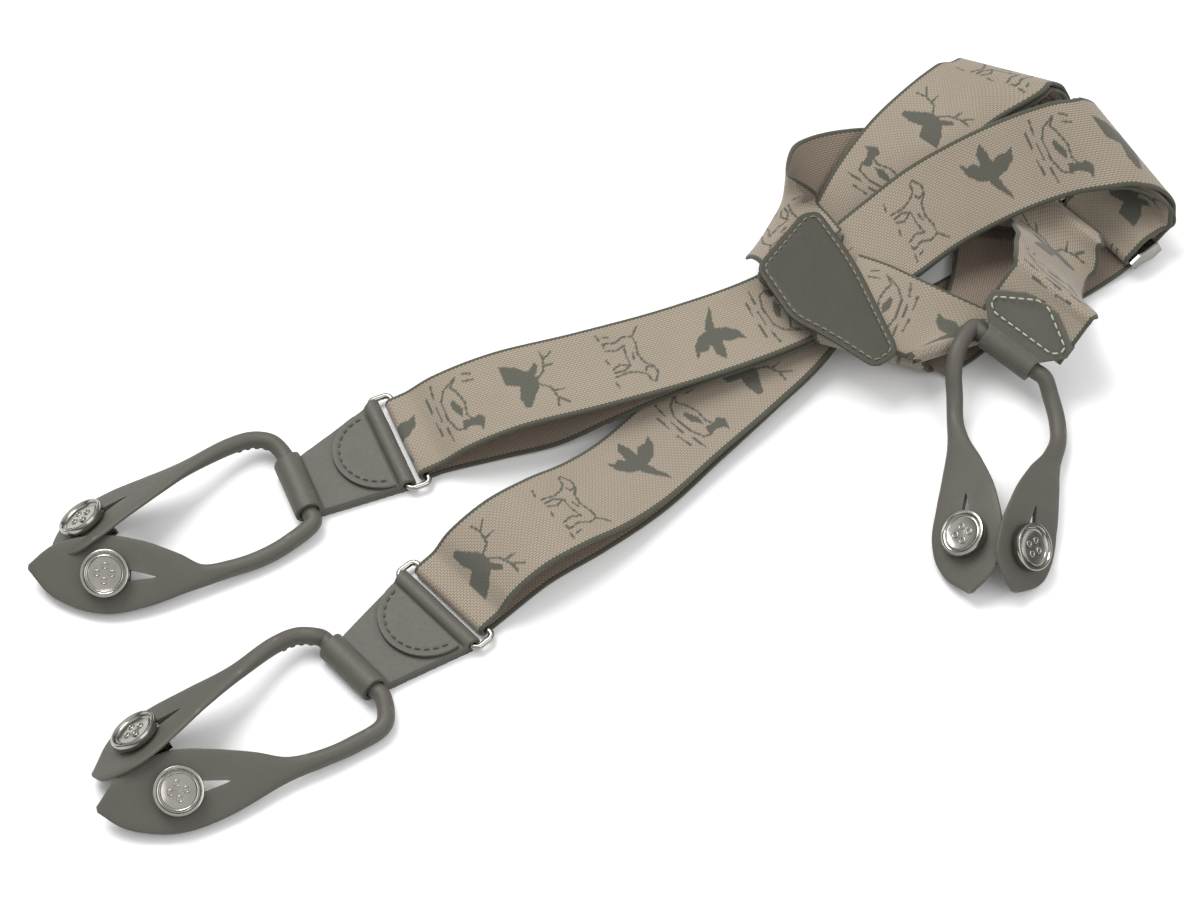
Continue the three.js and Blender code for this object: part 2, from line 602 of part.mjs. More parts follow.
// The webbing's turn round the bar of a front end's ring.
function foldStops(end) {
  const group = groups[end];
  const across = new THREE.Vector3(0, 1, 0).transformDirection(group.matrix).toArray();
  const at = (x, z) => [new THREE.Vector3(x, 0, RING_Z + z).applyMatrix4(group.matrix).toArray(), across, 0];
  const r = FOLD_RADIUS + 0.1;
  const slant = r * Math.SQRT1_2;
  const over = [at(-6, r + 0.8), at(-1.5, r), at(slant, slant)];
  return [...over, at(r, 0), at(slant, -slant), at(-1.5, -r), at(-7, -r)];
}

// The tail that runs back under the stops of the upper layer, a little below them.
function layerBelow(stops, drop) {
  const route = makeRoute(stops);
  return stops.map(([point, side, bow], i) => {
    const { up } = route.frameAt(i / (stops.length - 1));
    return [vector(point).addScaledVector(up, -drop).toArray(), side, bow];
  }).reverse();
}

// ---- slide adjusters ----
// Frame of an adjuster: origin in the middle of the running webbing, +X along it towards the roll,
// +Y across and +Z out of the webbing's outer face. The tail's end is held on the inner side.
const ADJUSTER_HALF = ADJUSTER_WIDTH / 2;
const CHEEK = 0.9;
const TAIL_BAR = { x: -5.2, z: -4.1, radius: 1 };
const HINGE = { x: 4.2, z: 2.75, radius: 0.7 };

function adjusterFrameGeometry() {
  const cheek = new THREE.Shape();
  cheek.moveTo(-7, TAIL_BAR.z - 1.6);
  cheek.lineTo(-2.5, TAIL_BAR.z - 1.6);
  cheek.lineTo(6, -2.2);
  cheek.lineTo(6, HINGE.z + 1.5);
  cheek.lineTo(1.5, HINGE.z + 1.5);
  cheek.lineTo(-7, -1.5);
  cheek.closePath();
  const side = new THREE.ExtrudeGeometry(cheek, { depth: 2 * ADJUSTER_HALF, bevelEnabled: false });
  side.translate(0, 0, -ADJUSTER_HALF).rotateX(Math.PI / 2);
  const room = box(20, 2 * (ADJUSTER_HALF - CHEEK), 20);
  const plateTop = -WEB_THICK / 2 - CLEARANCE;
  const plate = box(6.4, 2 * ADJUSTER_HALF - CHEEK, CHEEK, 2.4, 0, plateTop - CHEEK / 2);
  const bar = new THREE.CylinderGeometry(TAIL_BAR.radius, TAIL_BAR.radius, 2 * ADJUSTER_HALF - CHEEK, 12);
  bar.translate(TAIL_BAR.x, 0, TAIL_BAR.z);
  const hole = new THREE.CylinderGeometry(HINGE.radius + PIN_FIT, HINGE.radius + PIN_FIT, 60, 12);
  hole.translate(HINGE.x, 0, HINGE.z);
  return combine(side, ['cut', room], ['add', plate], ['add', bar], ['cut', hole]);
}

function adjusterLeverGeometry() {
  const width = 2 * (ADJUSTER_HALF - CHEEK - CLEARANCE);
  const eye = new THREE.CylinderGeometry(HINGE.radius + 1, HINGE.radius + 1, width, 16);
  eye.translate(HINGE.x, 0, HINGE.z);
  const plateX = HINGE.x - ADJUSTER_LENGTH / 2 + 0.75;
  const plate = box(ADJUSTER_LENGTH - 1.5, width, SHEET, plateX, 0, HINGE.z - 0.2);
  const bore = new THREE.CylinderGeometry(HINGE.radius + PIN_FIT, HINGE.radius + PIN_FIT, 60, 12);
  bore.translate(HINGE.x, 0, HINGE.z);
  return combine(eye, ['add', plate], ['cut', bore]);
}

function addAdjuster(name, stop) {
  const [point, side, , along] = stop;
  const group = frameGroup(point, along, side);
  const pin = new THREE.CylinderGeometry(HINGE.radius, HINGE.radius, 2 * ADJUSTER_HALF, 12);
  addPiece(`adjuster_${name}_frame`, adjusterFrameGeometry(), chrome, group);
  addPiece(`adjuster_${name}_lever`, adjusterLeverGeometry(), chrome, group);
  addPiece(`adjuster_${name}_pin`, pin.translate(HINGE.x, 0, HINGE.z), chrome, group);
  return group;
}

// The tail's end: in over the adjuster, round its bar and out again.
function tailEndStops(group, side) {
  const r = TAIL_BAR.radius + CLEARANCE + WEB_THICK / 2 + 0.05;
  const at = (x, z) => {
    const point = new THREE.Vector3(TAIL_BAR.x + x, 0, TAIL_BAR.z + z);
    return [point.applyMatrix4(group.matrix).toArray(), side, 0];
  };
  return [at(8, -r - 0.8), at(1.5, -r), at(-1.4, -1.6), at(-r, 0), at(-1.4, 1.6), at(1.2, r), at(3.4, r)];
}

// ---- front straps ----
const LEFT_N = [0.6, -0.8, 0];
const LEFT_HEADING = [0.72, 0.54, 0.43];
const leftAdjusterStop = [[191.5, 98.5, 6.4], LEFT_N, 0, LEFT_HEADING];
const leftAdjuster = addAdjuster('left', leftAdjusterStop);

// A straight piece of webbing through an adjuster.
function throughAdjuster([point, side, , along]) {
  const unit = vector(along).normalize();
  return [-8.5, 0, 8.5].map((offset) => [vector(point).addScaledVector(unit, offset).toArray(), side, 0]);
}

const leftRoll = [
  [[200.4, 106.5, 14.5], [0.6, -0.79, -0.1], 0],
  [[200.6, 109.8, 20], [0.6, -0.78, -0.15], 0],
  [[199.2, 112, 26.6], [0.6, -0.74, -0.25], 0],
  [[195, 112.2, 33.8], [0.6, -0.7, -0.36], 0],
  [[188, 110.4, 39.2], [0.58, -0.7, -0.42], 0],
  [[179, 108, 41.2], [0.52, -0.73, -0.44], 0],
  [[168, 106.3, 40], [0.46, -0.76, -0.46], 0],
];
const leftUpper = [
  [[154, 103.5, 36], [0.4, -0.78, -0.46], 0],
  [[138.5, 98.5, 31], [0.42, -0.78, -0.44], 0],
  [[122, 91, 25.5], [0.46, -0.8, -0.38], 0],
  [[106, 80, 20.5], [0.5, -0.82, -0.24], 0],
  [[88, 66.5, 17], [0.5, -0.86, -0.06], 0],
  [[65, 50.8, 16.2], [0.44, -0.9, 0], 0],
  [[31, 34.6, 17.2], [0.36, -0.93, 0], 0],
];
const frontLeft = [
  inPatch(80.5, 62, LOWER_LAYER, 0.89, 0.45),
  inPatch(86, 51.5, LOWER_LAYER, 0.89, 0.45),
  ...rollStops([94.2, 39.3, 12.7], [0.957, -0.15, -0.22], [-0.155, -0.988, 0], 4.2, 0.716,
    [80, 45, 10, -25, -60, -88]),
  [[113, 42.5, 6.6], [0.75, -0.62, -0.22], 0],
  [[122.5, 50.5, 2.6], [0.7, -0.71, -0.08], 0],
  [[133, 59.5, 1.2], [0.62, -0.78, 0], 0],
  [[148, 69, 1.2], [0.55, -0.84, 0], 0],
  [[163.5, 78.5, 1.2], [0.56, -0.83, 0], 0],
  [[176, 87, 1.5], LEFT_N, 0],
  ...throughAdjuster(leftAdjusterStop),
  ...leftRoll,
  ...leftUpper,
  [[-4, 21.4, 18.8], [0.33, -0.94, 0], 0],
  [[-34, 12.6, 18.2], [0.34, -0.94, 0], 0],
  [[-53, 7.4, 12.6], [0.37, -0.93, 0], 0],
  ...foldStops('left'),
  [[-40, 12, 1.2], [0.34, -0.94, 0], 0],
  [[-20, 17, 2.6], [0.33, -0.94, 0], 0],
  [[-2, 22.6, 8.4], [0.34, -0.94, 0], 0],
  [[14, 28.2, 12.4], [0.36, -0.93, 0], 0],
  ...layerBelow([...leftRoll, ...leftUpper], 2.5),
  ...tailEndStops(leftAdjuster, LEFT_N),
];

const RIGHT_HEADING = [0.22, 0.975, 0];
const rightAdjusterStop = [[163.4, 133.4, 4.7], [0.975, -0.22, 0], 0, RIGHT_HEADING];
const rightAdjuster = addAdjuster('right', rightAdjusterStop);
const rightRoll = rollStops([164.8, 145.3, 14.8], [0.945, -0.33, 0], [0.33, 0.945, 0], 13.4, -0.45,
  [-80, -54, -28, -2, 26, 54, 80]);
const rightUpper = [
  [[137, 143.4, 28.6], [0.72, -0.69, 0], 0],
  [[126, 133, 28], [0.72, -0.69, 0], 0],
  [[114, 120.4, 25.6], [0.75, -0.66, 0], 0],
  [[102.5, 106, 19.2], [0.8, -0.6, 0], 0],
  [[92.5, 89, 12], [0.84, -0.54, 0], 0],
  [[80.5, 66, 9.3], [0.83, -0.56, 0], 0],
  [[67, 44, 8.8], [0.78, -0.63, 0], 0],
  [[49.7, 24.5, 8.6], [0.72, -0.69, 0], 0],
  [[30.1, 4.6, 8.2], [0.71, -0.7, 0], 0],
  [[11.1, -15.5, 8.6], [0.69, -0.72, 0], 0],
];
const frontRight = [
  inPatch(89, 54.4, UPPER_LAYER, 0.3, 0.95),
  inPatch(99, 50.8, UPPER_LAYER, 0.3, 0.95),
  [[110, 46.6, 18.3], [0.36, 0.93, 0.02], 0],
  [[121, 42.8, 15.4], [0.62, 0.78, -0.08], 0],
  ...rollStops([130.4, 39.1, 13], [0.866, 0.46, -0.195], [0.469, -0.883, 0], 2.4, 1.081, [80, 30, -30, -85]),
  [[140.3, 50, 8.4], [0.94, 0.25, -0.23], 0],
  [[143.8, 60, 6], [0.99, -0.05, -0.06], 0],
  [[146.6, 71, 5.2], [0.98, -0.2, 0], 0],
  [[149, 83, 4.8], [0.98, -0.2, 0], 0],
  [[150.6, 95, 4.6], [0.97, -0.23, 0], 0],
  [[153, 108, 4.5], [0.96, -0.27, 0], 0],
  ...throughAdjuster(rightAdjusterStop),
  ...rightRoll,
  ...rightUpper,
  [[-2.2, -27.7, 12], [0.65, -0.76, 0], 0],
  [[-15.3, -37.3, 16], [0.62, -0.78, 0], 0],
  [[-29.5, -47.3, 16.8], [0.62, -0.78, 0], 0],
  [[-41, -56, 12], [0.66, -0.75, 0], 0],
  ...foldStops('right'),
  [[-28, -43.5, 1.2], [0.63, -0.77, 0], 0],
  [[-8, -29.5, 1.2], [0.65, -0.76, 0], 0],
  [[11, -14.5, 1.6], [0.69, -0.72, 0], 0],
  [[30, 5, 3], [0.71, -0.7, 0], 0],
  ...layerBelow([...rightRoll.slice(2), ...rightUpper.slice(0, -2)], 2.5),
  [[165.6, 146.2, 12], [0.96, -0.27, 0], 0],
  ...tailEndStops(rightAdjuster, rightAdjusterStop[1]),
];

// ---- back strap ----
const back = [
  inPatch(75, 70.5, UPPER_LAYER, -0.76, -0.65),
  inPatch(70.8, 77, UPPER_LAYER, -0.75, -0.66),
  [[66.6, 83.2, 23.6], [-0.74, -0.64, -0.16], 1],
  [[65.4, 90.5, 21.2], [-0.55, -0.25, -0.8], 4.5],
  [[68.6, 98.5, 18.2], [0.1, 0, -0.99], 3],
  [[74.8, 106, 17], [0.35, -0.3, -0.88], 2],
  [[82.8, 112.3, 14.6], [0.45, -0.5, -0.74], 1],
  [[93, 117, 12.4], [0.3, -0.72, -0.62], 0.5],
  [[104.5, 119, 11.4], [0.1, -0.85, -0.5], 0],
  [[117, 118, 10.4], [0, -0.9, -0.42], 0],
  [[129.5, 115.8, 9.2], [0.05, -0.97, -0.2], 0],
  [[141, 113.2, 8.2], [0.25, -0.96, 0], 0],
  ...rollStops([151.9, 110.6, 13.6], [0.67, -0.74, 0], [0.74, 0.67, 0], 6.8, 1.114,
    [-80, -48, -16, 16, 48, 80]),
  [[166.6, 86, 16.6], [0.8, -0.57, -0.12], 0],
  [[166, 80, 15.4], [0.82, -0.47, -0.3], 0],
  [[165.2, 71.5, 20.5], [0.75, -0.2, -0.62], 1],
  [[163.2, 62, 26], [0.74, -0.38, -0.55], 1.5],
  [inTab(-TAB_LENGTH - 4), TAB_ACROSS, 0],
  [inTab(-TAB_LENGTH + 1), TAB_ACROSS, 0],
  [inTab(TAB_SLOT_END - 2), TAB_ACROSS, 0],
];

addPiece('front_strap_left', bandGeometry(frontLeft, WEB_WIDTH, WEB_THICK, 6), webbing);
addPiece('front_strap_right', bandGeometry(frontRight, WEB_WIDTH, WEB_THICK, 6), webbing);
addPiece('back_strap', bandGeometry(back, WEB_WIDTH, WEB_THICK, 6), webbing);

export default suspenders;
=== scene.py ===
"""Looks of the button-loop suspenders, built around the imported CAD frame.

Lengths are written in millimetres and become metres when a mesh is made. Routes are the ones the
CAD solids follow, so every soft piece lies inside the space that its solid holds.
"""
import math

import bpy
import numpy as np
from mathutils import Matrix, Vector, noise


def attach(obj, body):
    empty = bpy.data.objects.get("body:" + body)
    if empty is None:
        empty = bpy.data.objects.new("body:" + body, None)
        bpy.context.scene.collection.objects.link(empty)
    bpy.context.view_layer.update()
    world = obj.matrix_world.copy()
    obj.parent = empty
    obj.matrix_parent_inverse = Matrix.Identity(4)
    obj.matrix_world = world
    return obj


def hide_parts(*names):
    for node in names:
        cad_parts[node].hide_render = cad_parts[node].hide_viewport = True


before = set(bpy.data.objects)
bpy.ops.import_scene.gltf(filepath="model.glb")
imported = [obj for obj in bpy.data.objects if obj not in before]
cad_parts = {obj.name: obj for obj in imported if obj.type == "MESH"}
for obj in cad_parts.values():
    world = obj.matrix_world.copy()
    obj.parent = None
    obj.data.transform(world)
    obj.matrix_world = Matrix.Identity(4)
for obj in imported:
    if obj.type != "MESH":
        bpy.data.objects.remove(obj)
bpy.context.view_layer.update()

MM = 0.001
SHIFT = np.array([-8.37, -6.09, 0.0])  # centres the lying set over its own origin

# ---- driving dimensions, as in the CAD ----
WEB_WIDTH = 35.0
WEB_THICK = 1.5
LEATHER = 1.8
CLEARANCE = 0.35
CORD_RADIUS = 3.0
LEAF_THICK = 2.0
LEAF_HALF = 13.6
RING_WIRE = 1.1
RING_DEPTH = 8.0
RING_SIDE = 2.2
EAR_LENGTH = 36.0
TUNNEL_HALF = 11.5
FLAP_RADIUS = 17.0
TAB_LENGTH = 24.0
BUTTON_RADIUS = 8.4
BUTTON_THICK = 3.2
POST_RADIUS = 1.7
BUTTON_GAP = 0.9
SLIT_LENGTH = 17.0
SLIT_HALF = 3.1
SHEET = 0.9
JAW_TOP = -(LEAF_THICK / 2 + BUTTON_GAP)
RING_Z = LEATHER + RING_WIRE + CLEARANCE
TUNNEL_RADIUS = CORD_RADIUS + CLEARANCE
TUNNEL_Z = LEATHER + TUNNEL_RADIUS
EAR_TOP = 2 * LEATHER + 0.6


# ---- vectors and places ----
def unit(v):
    v = np.asarray(v, float)
    return v / np.linalg.norm(v)


def normalised(rows):
    return rows / np.linalg.norm(rows, axis=1)[:, None]


def distances(line):
    """How far each point of a line is from its start."""
    return np.concatenate([[0], np.cumsum(np.linalg.norm(np.diff(line, axis=0), axis=1))])


def between(wanted, reach, rows):
    """Rows read off at the wanted distances."""
    return np.stack([np.interp(wanted, reach, column) for column in rows.T], axis=1)


def full_turn(count):
    return np.linspace(0, 2 * math.pi, count, endpoint=False)


class Place:
    """A local frame: an origin and three axes, X along and Y across."""

    def __init__(self, origin, along, across):
        self.origin = np.asarray(origin, float)
        y = unit(across)
        x = unit(np.asarray(along, float) - np.dot(along, y) * y)
        self.axes = np.array([x, y, np.cross(x, y)])

    def at(self, x, y, z):
        return self.origin + np.array([x, y, z], float) @ self.axes

    def all(self, points):
        return self.origin + np.asarray(points, float) @ self.axes

    def grid(self, x, y, z):
        return self.all(np.stack(np.broadcast_arrays(x, y, z), axis=-1))


def on_floor(bar, angle):
    turn = math.radians(angle)
    across = [-math.sin(turn), math.cos(turn), 0]
    return Place([*bar, 0], [math.cos(turn), math.sin(turn), 0], across)


# ---- routes: a middle line with a direction across it ----
def cubics(points, centripetal, held=False):
    """The cubic coefficients of a Catmull-Rom curve, one set for each interval.

    Past its ends a curve goes on straight, or keeps its last value if it is held.
    """
    p = np.array(points, float)
    before, after = (p[0], p[-1]) if held else (2 * p[0] - p[1], 2 * p[-1] - p[-2])
    p = np.vstack([before, p, after])
    a, b, c, d = p[:-3], p[1:-2], p[2:-1], p[3:]
    if centripetal:
        g0, g1, g2 = (
            np.sum((y - x) ** 2, axis=1)[:, None] ** 0.25 for x, y in ((a, b), (b, c), (c, d))
        )
        start = ((b - a) / g0 - (c - a) / (g0 + g1) + (c - b) / g1) * g1
        end = ((c - b) / g1 - (d - b) / (g1 + g2) + (d - c) / g2) * g1
    else:
        start, end = (c - a) / 2, (d - b) / 2
    return b, start, 3 * (c - b) - 2 * start - end, 2 * (b - c) + start + end


class Route:
    """Stops are [middle point, direction across, further values...]."""

    def __init__(self, stops):
        self.middle = cubics([s[0] for s in stops], True)
        self.across = cubics([unit(s[1]) for s in stops], False)
        self.values = np.array([s[2:] for s in stops], float)
        self.flow = cubics(self.values, False, held=True)
        self.last = len(stops) - 1

    def split(self, t):
        place = np.clip(np.asarray(t, float), 0, 1) * self.last
        index = np.minimum(place.astype(int), self.last - 1)
        return index, (place - index)[:, None]

    def points(self, t):
        i, w = self.split(t)
        c = self.middle
        return c[0][i] + w * (c[1][i] + w * (c[2][i] + w * c[3][i]))

    def frames(self, t):
        i, w = self.split(t)
        c, e = self.middle, self.across
        along = normalised(c[1][i] + w * (2 * c[2][i] + w * 3 * c[3][i]))
        side = normalised(e[0][i] + w * (e[1][i] + w * (e[2][i] + w * e[3][i])))
        up = np.cross(along, side)
        square = np.maximum(np.linalg.norm(up, axis=1), 0.5)[:, None]
        v = self.flow
        values = v[0][i] + w * (v[1][i] + w * (v[2][i] + w * v[3][i]))
        return self.points(t), along, side, normalised(up), square, values

    def spaced(self, step):
        """Places t about one step apart along the middle line, and their distances from the start."""
        t = np.linspace(0, 1, self.last * 60 + 1)
        reach = distances(self.points(t))
        wanted = np.linspace(0, reach[-1], max(2, round(reach[-1] / step)) + 1)
        return np.interp(wanted, reach, t), wanted


# ---- the frames of the ends, the tab and the patch ----
END_SKEW = {"left": 6.0, "right": -1.5}
END = {"left": on_floor([-67.8, 3.0], 203), "right": on_floor([-50.3, -64.2], 223)}
TAB = Place([146.8, 32, 15.5], [-0.4, -0.55, -0.66], [0.77, -0.6, -0.18])
TAB_SLOT = WEB_THICK / 2 + CLEARANCE
TAB_HALF_THICK = TAB_SLOT + LEATHER
TAB_HALF = WEB_WIDTH / 2 + 0.3
TAB_SLOT_END = -TUNNEL_RADIUS - LEATHER
PATCH_ORIGIN = [82, 56, 21.7]
PATCH_SLOPE = [-0.07, 0.055]
PATCH = Place(PATCH_ORIGIN, [1, 0, PATCH_SLOPE[0]], [0, 1, PATCH_SLOPE[1]])
LAYER_GAP = 0.25  # from the patch's middle plane to the webbing on either side of it
PATCH_GAP = 0.4  # between the webbing and the patch's leather
UPPER_LAYER = WEB_THICK / 2 + LAYER_GAP
LOWER_LAYER = -UPPER_LAYER
PATCH_LEATHER = 1.2
PATCH_FACE = 2 * UPPER_LAYER - LAYER_GAP + PATCH_GAP
TAIL_BAR = {"x": -5.2, "z": -4.1, "radius": 1.0}


def in_tab(x):
    return list(TAB.at(x, 0, 0))


def in_patch(x, y, layer, across_x, across_y):
    slope_x, slope_y = PATCH_SLOPE
    z = PATCH_ORIGIN[2] + (x - PATCH_ORIGIN[0]) * slope_x + (y - PATCH_ORIGIN[1]) * slope_y + layer
    return [[x, y, z], [across_x, across_y, across_x * slope_x + across_y * slope_y], 0]


def roll_stops(centre, axis, outward, radius, slant, angles):
    """Stops round a roll: a helix about the axis, with the webbing's face outwards."""
    a = unit(axis)
    out = unit(np.array(outward, float) - np.dot(outward, a) * a)
    up = np.cross(out, a)
    up = up * np.sign(up[2])
    sense = np.sign(angles[1] - angles[0])
    stops = []
    for degrees in angles:
        turn = math.radians(degrees)
        swept = abs(math.radians(degrees - angles[0]))
        radial = out * math.cos(turn) + up * math.sin(turn)
        round_it = -out * math.sin(turn) + up * math.cos(turn)
        along = unit(round_it * sense + a * slant)
        point = np.array(centre, float) + a * (slant * radius * swept) + radial * radius
        facing = np.sign(np.dot(np.cross(radial, along), a))
        stops.append([list(point), list(a * facing), 0])
    return stops


def fold_stops(end):
    """The webbing's turn round the bar of a front end's ring."""
    r = RING_WIRE + CLEARANCE + WEB_THICK / 2 + 0.1
    slant = r * math.sqrt(0.5)
    turn = [(-6, r + 0.8), (-1.5, r), (slant, slant), (r, 0), (slant, -slant), (-1.5, -r), (-7, -r)]
    place = END[end]
    return [[list(place.at(x, 0, RING_Z + z)), list(place.axes[1]), 0] for x, z in turn]


def layer_below(stops, drop):
    """The tail that runs back under these stops, a little below them."""
    up = Route(stops).frames(np.linspace(0, 1, len(stops)))[3]
    lowered = [[list(np.array(s[0]) - drop * u), s[1], s[2]] for s, u in zip(stops, up)]
    return lowered[::-1]


def through_adjuster(stop):
    heading = unit(stop[3])
    return [[list(np.array(stop[0]) + heading * d), stop[1], 0] for d in (-8.5, 0, 8.5)]


def tail_end_stops(stop):
    """The tail's end: in over the adjuster, round its bar and out again."""
    place = Place(stop[0], stop[3], stop[1])
    r = TAIL_BAR["radius"] + CLEARANCE + WEB_THICK / 2 + 0.05
    turn = [(8, -r - 0.8), (1.5, -r), (-1.4, -1.6), (-r, 0), (-1.4, 1.6), (1.2, r), (3.4, r)]
    bar_x, bar_z = TAIL_BAR["x"], TAIL_BAR["z"]
    return [[list(place.at(bar_x + x, 0, bar_z + z)), stop[1], 0] for x, z in turn]


# ---- the webbing's routes ----
TAB_SIDE = [0.77, -0.6, -0.18]
LEFT_N = [0.6, -0.8, 0]
LEFT_ADJUSTER = [[191.5, 98.5, 6.4], LEFT_N, 0, [0.72, 0.54, 0.43]]

LEFT_ROLL = [
    [[200.4, 106.5, 14.5], [0.6, -0.79, -0.1], 0],
    [[200.6, 109.8, 20], [0.6, -0.78, -0.15], 0],
    [[199.2, 112, 26.6], [0.6, -0.74, -0.25], 0],
    [[195, 112.2, 33.8], [0.6, -0.7, -0.36], 0],
    [[188, 110.4, 39.2], [0.58, -0.7, -0.42], 0],
    [[179, 108, 41.2], [0.52, -0.73, -0.44], 0],
    [[168, 106.3, 40], [0.46, -0.76, -0.46], 0],
]
LEFT_UPPER = [
    [[154, 103.5, 36], [0.4, -0.78, -0.46], 0],
    [[138.5, 98.5, 31], [0.42, -0.78, -0.44], 0],
    [[122, 91, 25.5], [0.46, -0.8, -0.38], 0],
    [[106, 80, 20.5], [0.5, -0.82, -0.24], 0],
    [[88, 66.5, 17], [0.5, -0.86, -0.06], 0],
    [[65, 50.8, 16.2], [0.44, -0.9, 0], 0],
    [[31, 34.6, 17.2], [0.36, -0.93, 0], 0],
]
FRONT_LEFT = [
    in_patch(80.5, 62, LOWER_LAYER, 0.89, 0.45),
    in_patch(86, 51.5, LOWER_LAYER, 0.89, 0.45),
    *roll_stops([94.2, 39.3, 12.7], [0.957, -0.15, -0.22], [-0.155, -0.988, 0], 4.2, 0.716,
      [80, 45, 10, -25, -60, -88]),
    [[113, 42.5, 6.6], [0.75, -0.62, -0.22], 0],
    [[122.5, 50.5, 2.6], [0.7, -0.71, -0.08], 0],
    [[133, 59.5, 1.2], [0.62, -0.78, 0], 0],
    [[148, 69, 1.2], [0.55, -0.84, 0], 0],
    [[163.5, 78.5, 1.2], [0.56, -0.83, 0], 0],
    [[176, 87, 1.5], LEFT_N, 0],
    *through_adjuster(LEFT_ADJUSTER),
    *LEFT_ROLL,
    *LEFT_UPPER,
    [[-4, 21.4, 18.8], [0.33, -0.94, 0], 0],
    [[-34, 12.6, 18.2], [0.34, -0.94, 0], 0],
    [[-53, 7.4, 12.6], [0.37, -0.93, 0], 0],
    *fold_stops("left"),
    [[-40, 12, 1.2], [0.34, -0.94, 0], 0],
    [[-20, 17, 2.6], [0.33, -0.94, 0], 0],
    [[-2, 22.6, 8.4], [0.34, -0.94, 0], 0],
    [[14, 28.2, 12.4], [0.36, -0.93, 0], 0],
    *layer_below([*LEFT_ROLL, *LEFT_UPPER], 2.5),
    *tail_end_stops(LEFT_ADJUSTER),
]

RIGHT_ADJUSTER = [[163.4, 133.4, 4.7], [0.975, -0.22, 0], 0, [0.22, 0.975, 0]]
RIGHT_ROLL = roll_stops([164.8, 145.3, 14.8], [0.945, -0.33, 0], [0.33, 0.945, 0], 13.4, -0.45,
    [-80, -54, -28, -2, 26, 54, 80])
RIGHT_UPPER = [
    [[137, 143.4, 28.6], [0.72, -0.69, 0], 0],
    [[126, 133, 28], [0.72, -0.69, 0], 0],
    [[114, 120.4, 25.6], [0.75, -0.66, 0], 0],
    [[102.5, 106, 19.2], [0.8, -0.6, 0], 0],
    [[92.5, 89, 12], [0.84, -0.54, 0], 0],
    [[80.5, 66, 9.3], [0.83, -0.56, 0], 0],
    [[67, 44, 8.8], [0.78, -0.63, 0], 0],
    [[49.7, 24.5, 8.6], [0.72, -0.69, 0], 0],
    [[30.1, 4.6, 8.2], [0.71, -0.7, 0], 0],
    [[11.1, -15.5, 8.6], [0.69, -0.72, 0], 0],
]
FRONT_RIGHT = [
    in_patch(89, 54.4, UPPER_LAYER, 0.3, 0.95),
    in_patch(99, 50.8, UPPER_LAYER, 0.3, 0.95),
    [[110, 46.6, 18.3], [0.36, 0.93, 0.02], 0],
    [[121, 42.8, 15.4], [0.62, 0.78, -0.08], 0],
    *roll_stops([130.4, 39.1, 13], [0.866, 0.46, -0.195], [0.469, -0.883, 0], 2.4, 1.081,
      [80, 30, -30, -85]),
    [[140.3, 50, 8.4], [0.94, 0.25, -0.23], 0],
    [[143.8, 60, 6], [0.99, -0.05, -0.06], 0],
    [[146.6, 71, 5.2], [0.98, -0.2, 0], 0],
    [[149, 83, 4.8], [0.98, -0.2, 0], 0],
    [[150.6, 95, 4.6], [0.97, -0.23, 0], 0],
    [[153, 108, 4.5], [0.96, -0.27, 0], 0],
    *through_adjuster(RIGHT_ADJUSTER),
    *RIGHT_ROLL,
    *RIGHT_UPPER,
    [[-2.2, -27.7, 12], [0.65, -0.76, 0], 0],
    [[-15.3, -37.3, 16], [0.62, -0.78, 0], 0],
    [[-29.5, -47.3, 16.8], [0.62, -0.78, 0], 0],
    [[-41, -56, 12], [0.66, -0.75, 0], 0],
    *fold_stops("right"),
    [[-28, -43.5, 1.2], [0.63, -0.77, 0], 0],
    [[-8, -29.5, 1.2], [0.65, -0.76, 0], 0],
    [[11, -14.5, 1.6], [0.69, -0.72, 0], 0],
    [[30, 5, 3], [0.71, -0.7, 0], 0],
    *layer_below([*RIGHT_ROLL[2:], *RIGHT_UPPER[:-2]], 2.5),
    [[165.6, 146.2, 12], [0.96, -0.27, 0], 0],
    *tail_end_stops(RIGHT_ADJUSTER),
]

BACK = [
    in_patch(75, 70.5, UPPER_LAYER, -0.76, -0.65),
    in_patch(70.8, 77, UPPER_LAYER, -0.75, -0.66),
    [[66.6, 83.2, 23.6], [-0.74, -0.64, -0.16], 1],
    [[65.4, 90.5, 21.2], [-0.55, -0.25, -0.8], 4.5],
    [[68.6, 98.5, 18.2], [0.1, 0, -0.99], 3],
    [[74.8, 106, 17], [0.35, -0.3, -0.88], 2],
    [[82.8, 112.3, 14.6], [0.45, -0.5, -0.74], 1],
    [[93, 117, 12.4], [0.3, -0.72, -0.62], 0.5],
    [[104.5, 119, 11.4], [0.1, -0.85, -0.5], 0],
    [[117, 118, 10.4], [0, -0.9, -0.42], 0],
    [[129.5, 115.8, 9.2], [0.05, -0.97, -0.2], 0],
    [[141, 113.2, 8.2], [0.25, -0.96, 0], 0],
    *roll_stops([151.9, 110.6, 13.6], [0.67, -0.74, 0], [0.74, 0.67, 0], 6.8, 1.114,
      [-80, -48, -16, 16, 48, 80]),
    [[166.6, 86, 16.6], [0.8, -0.57, -0.12], 0],
    [[166, 80, 15.4], [0.82, -0.47, -0.3], 0],
    [[165.2, 71.5, 20.5], [0.75, -0.2, -0.62], 1],
    [[163.2, 62, 26], [0.74, -0.38, -0.55], 1.5],
    [in_tab(-TAB_LENGTH - 4), TAB_SIDE, 0],
    [in_tab(-TAB_LENGTH + 1), TAB_SIDE, 0],
    [in_tab(TAB_SLOT_END - 2), TAB_SIDE, 0],
]

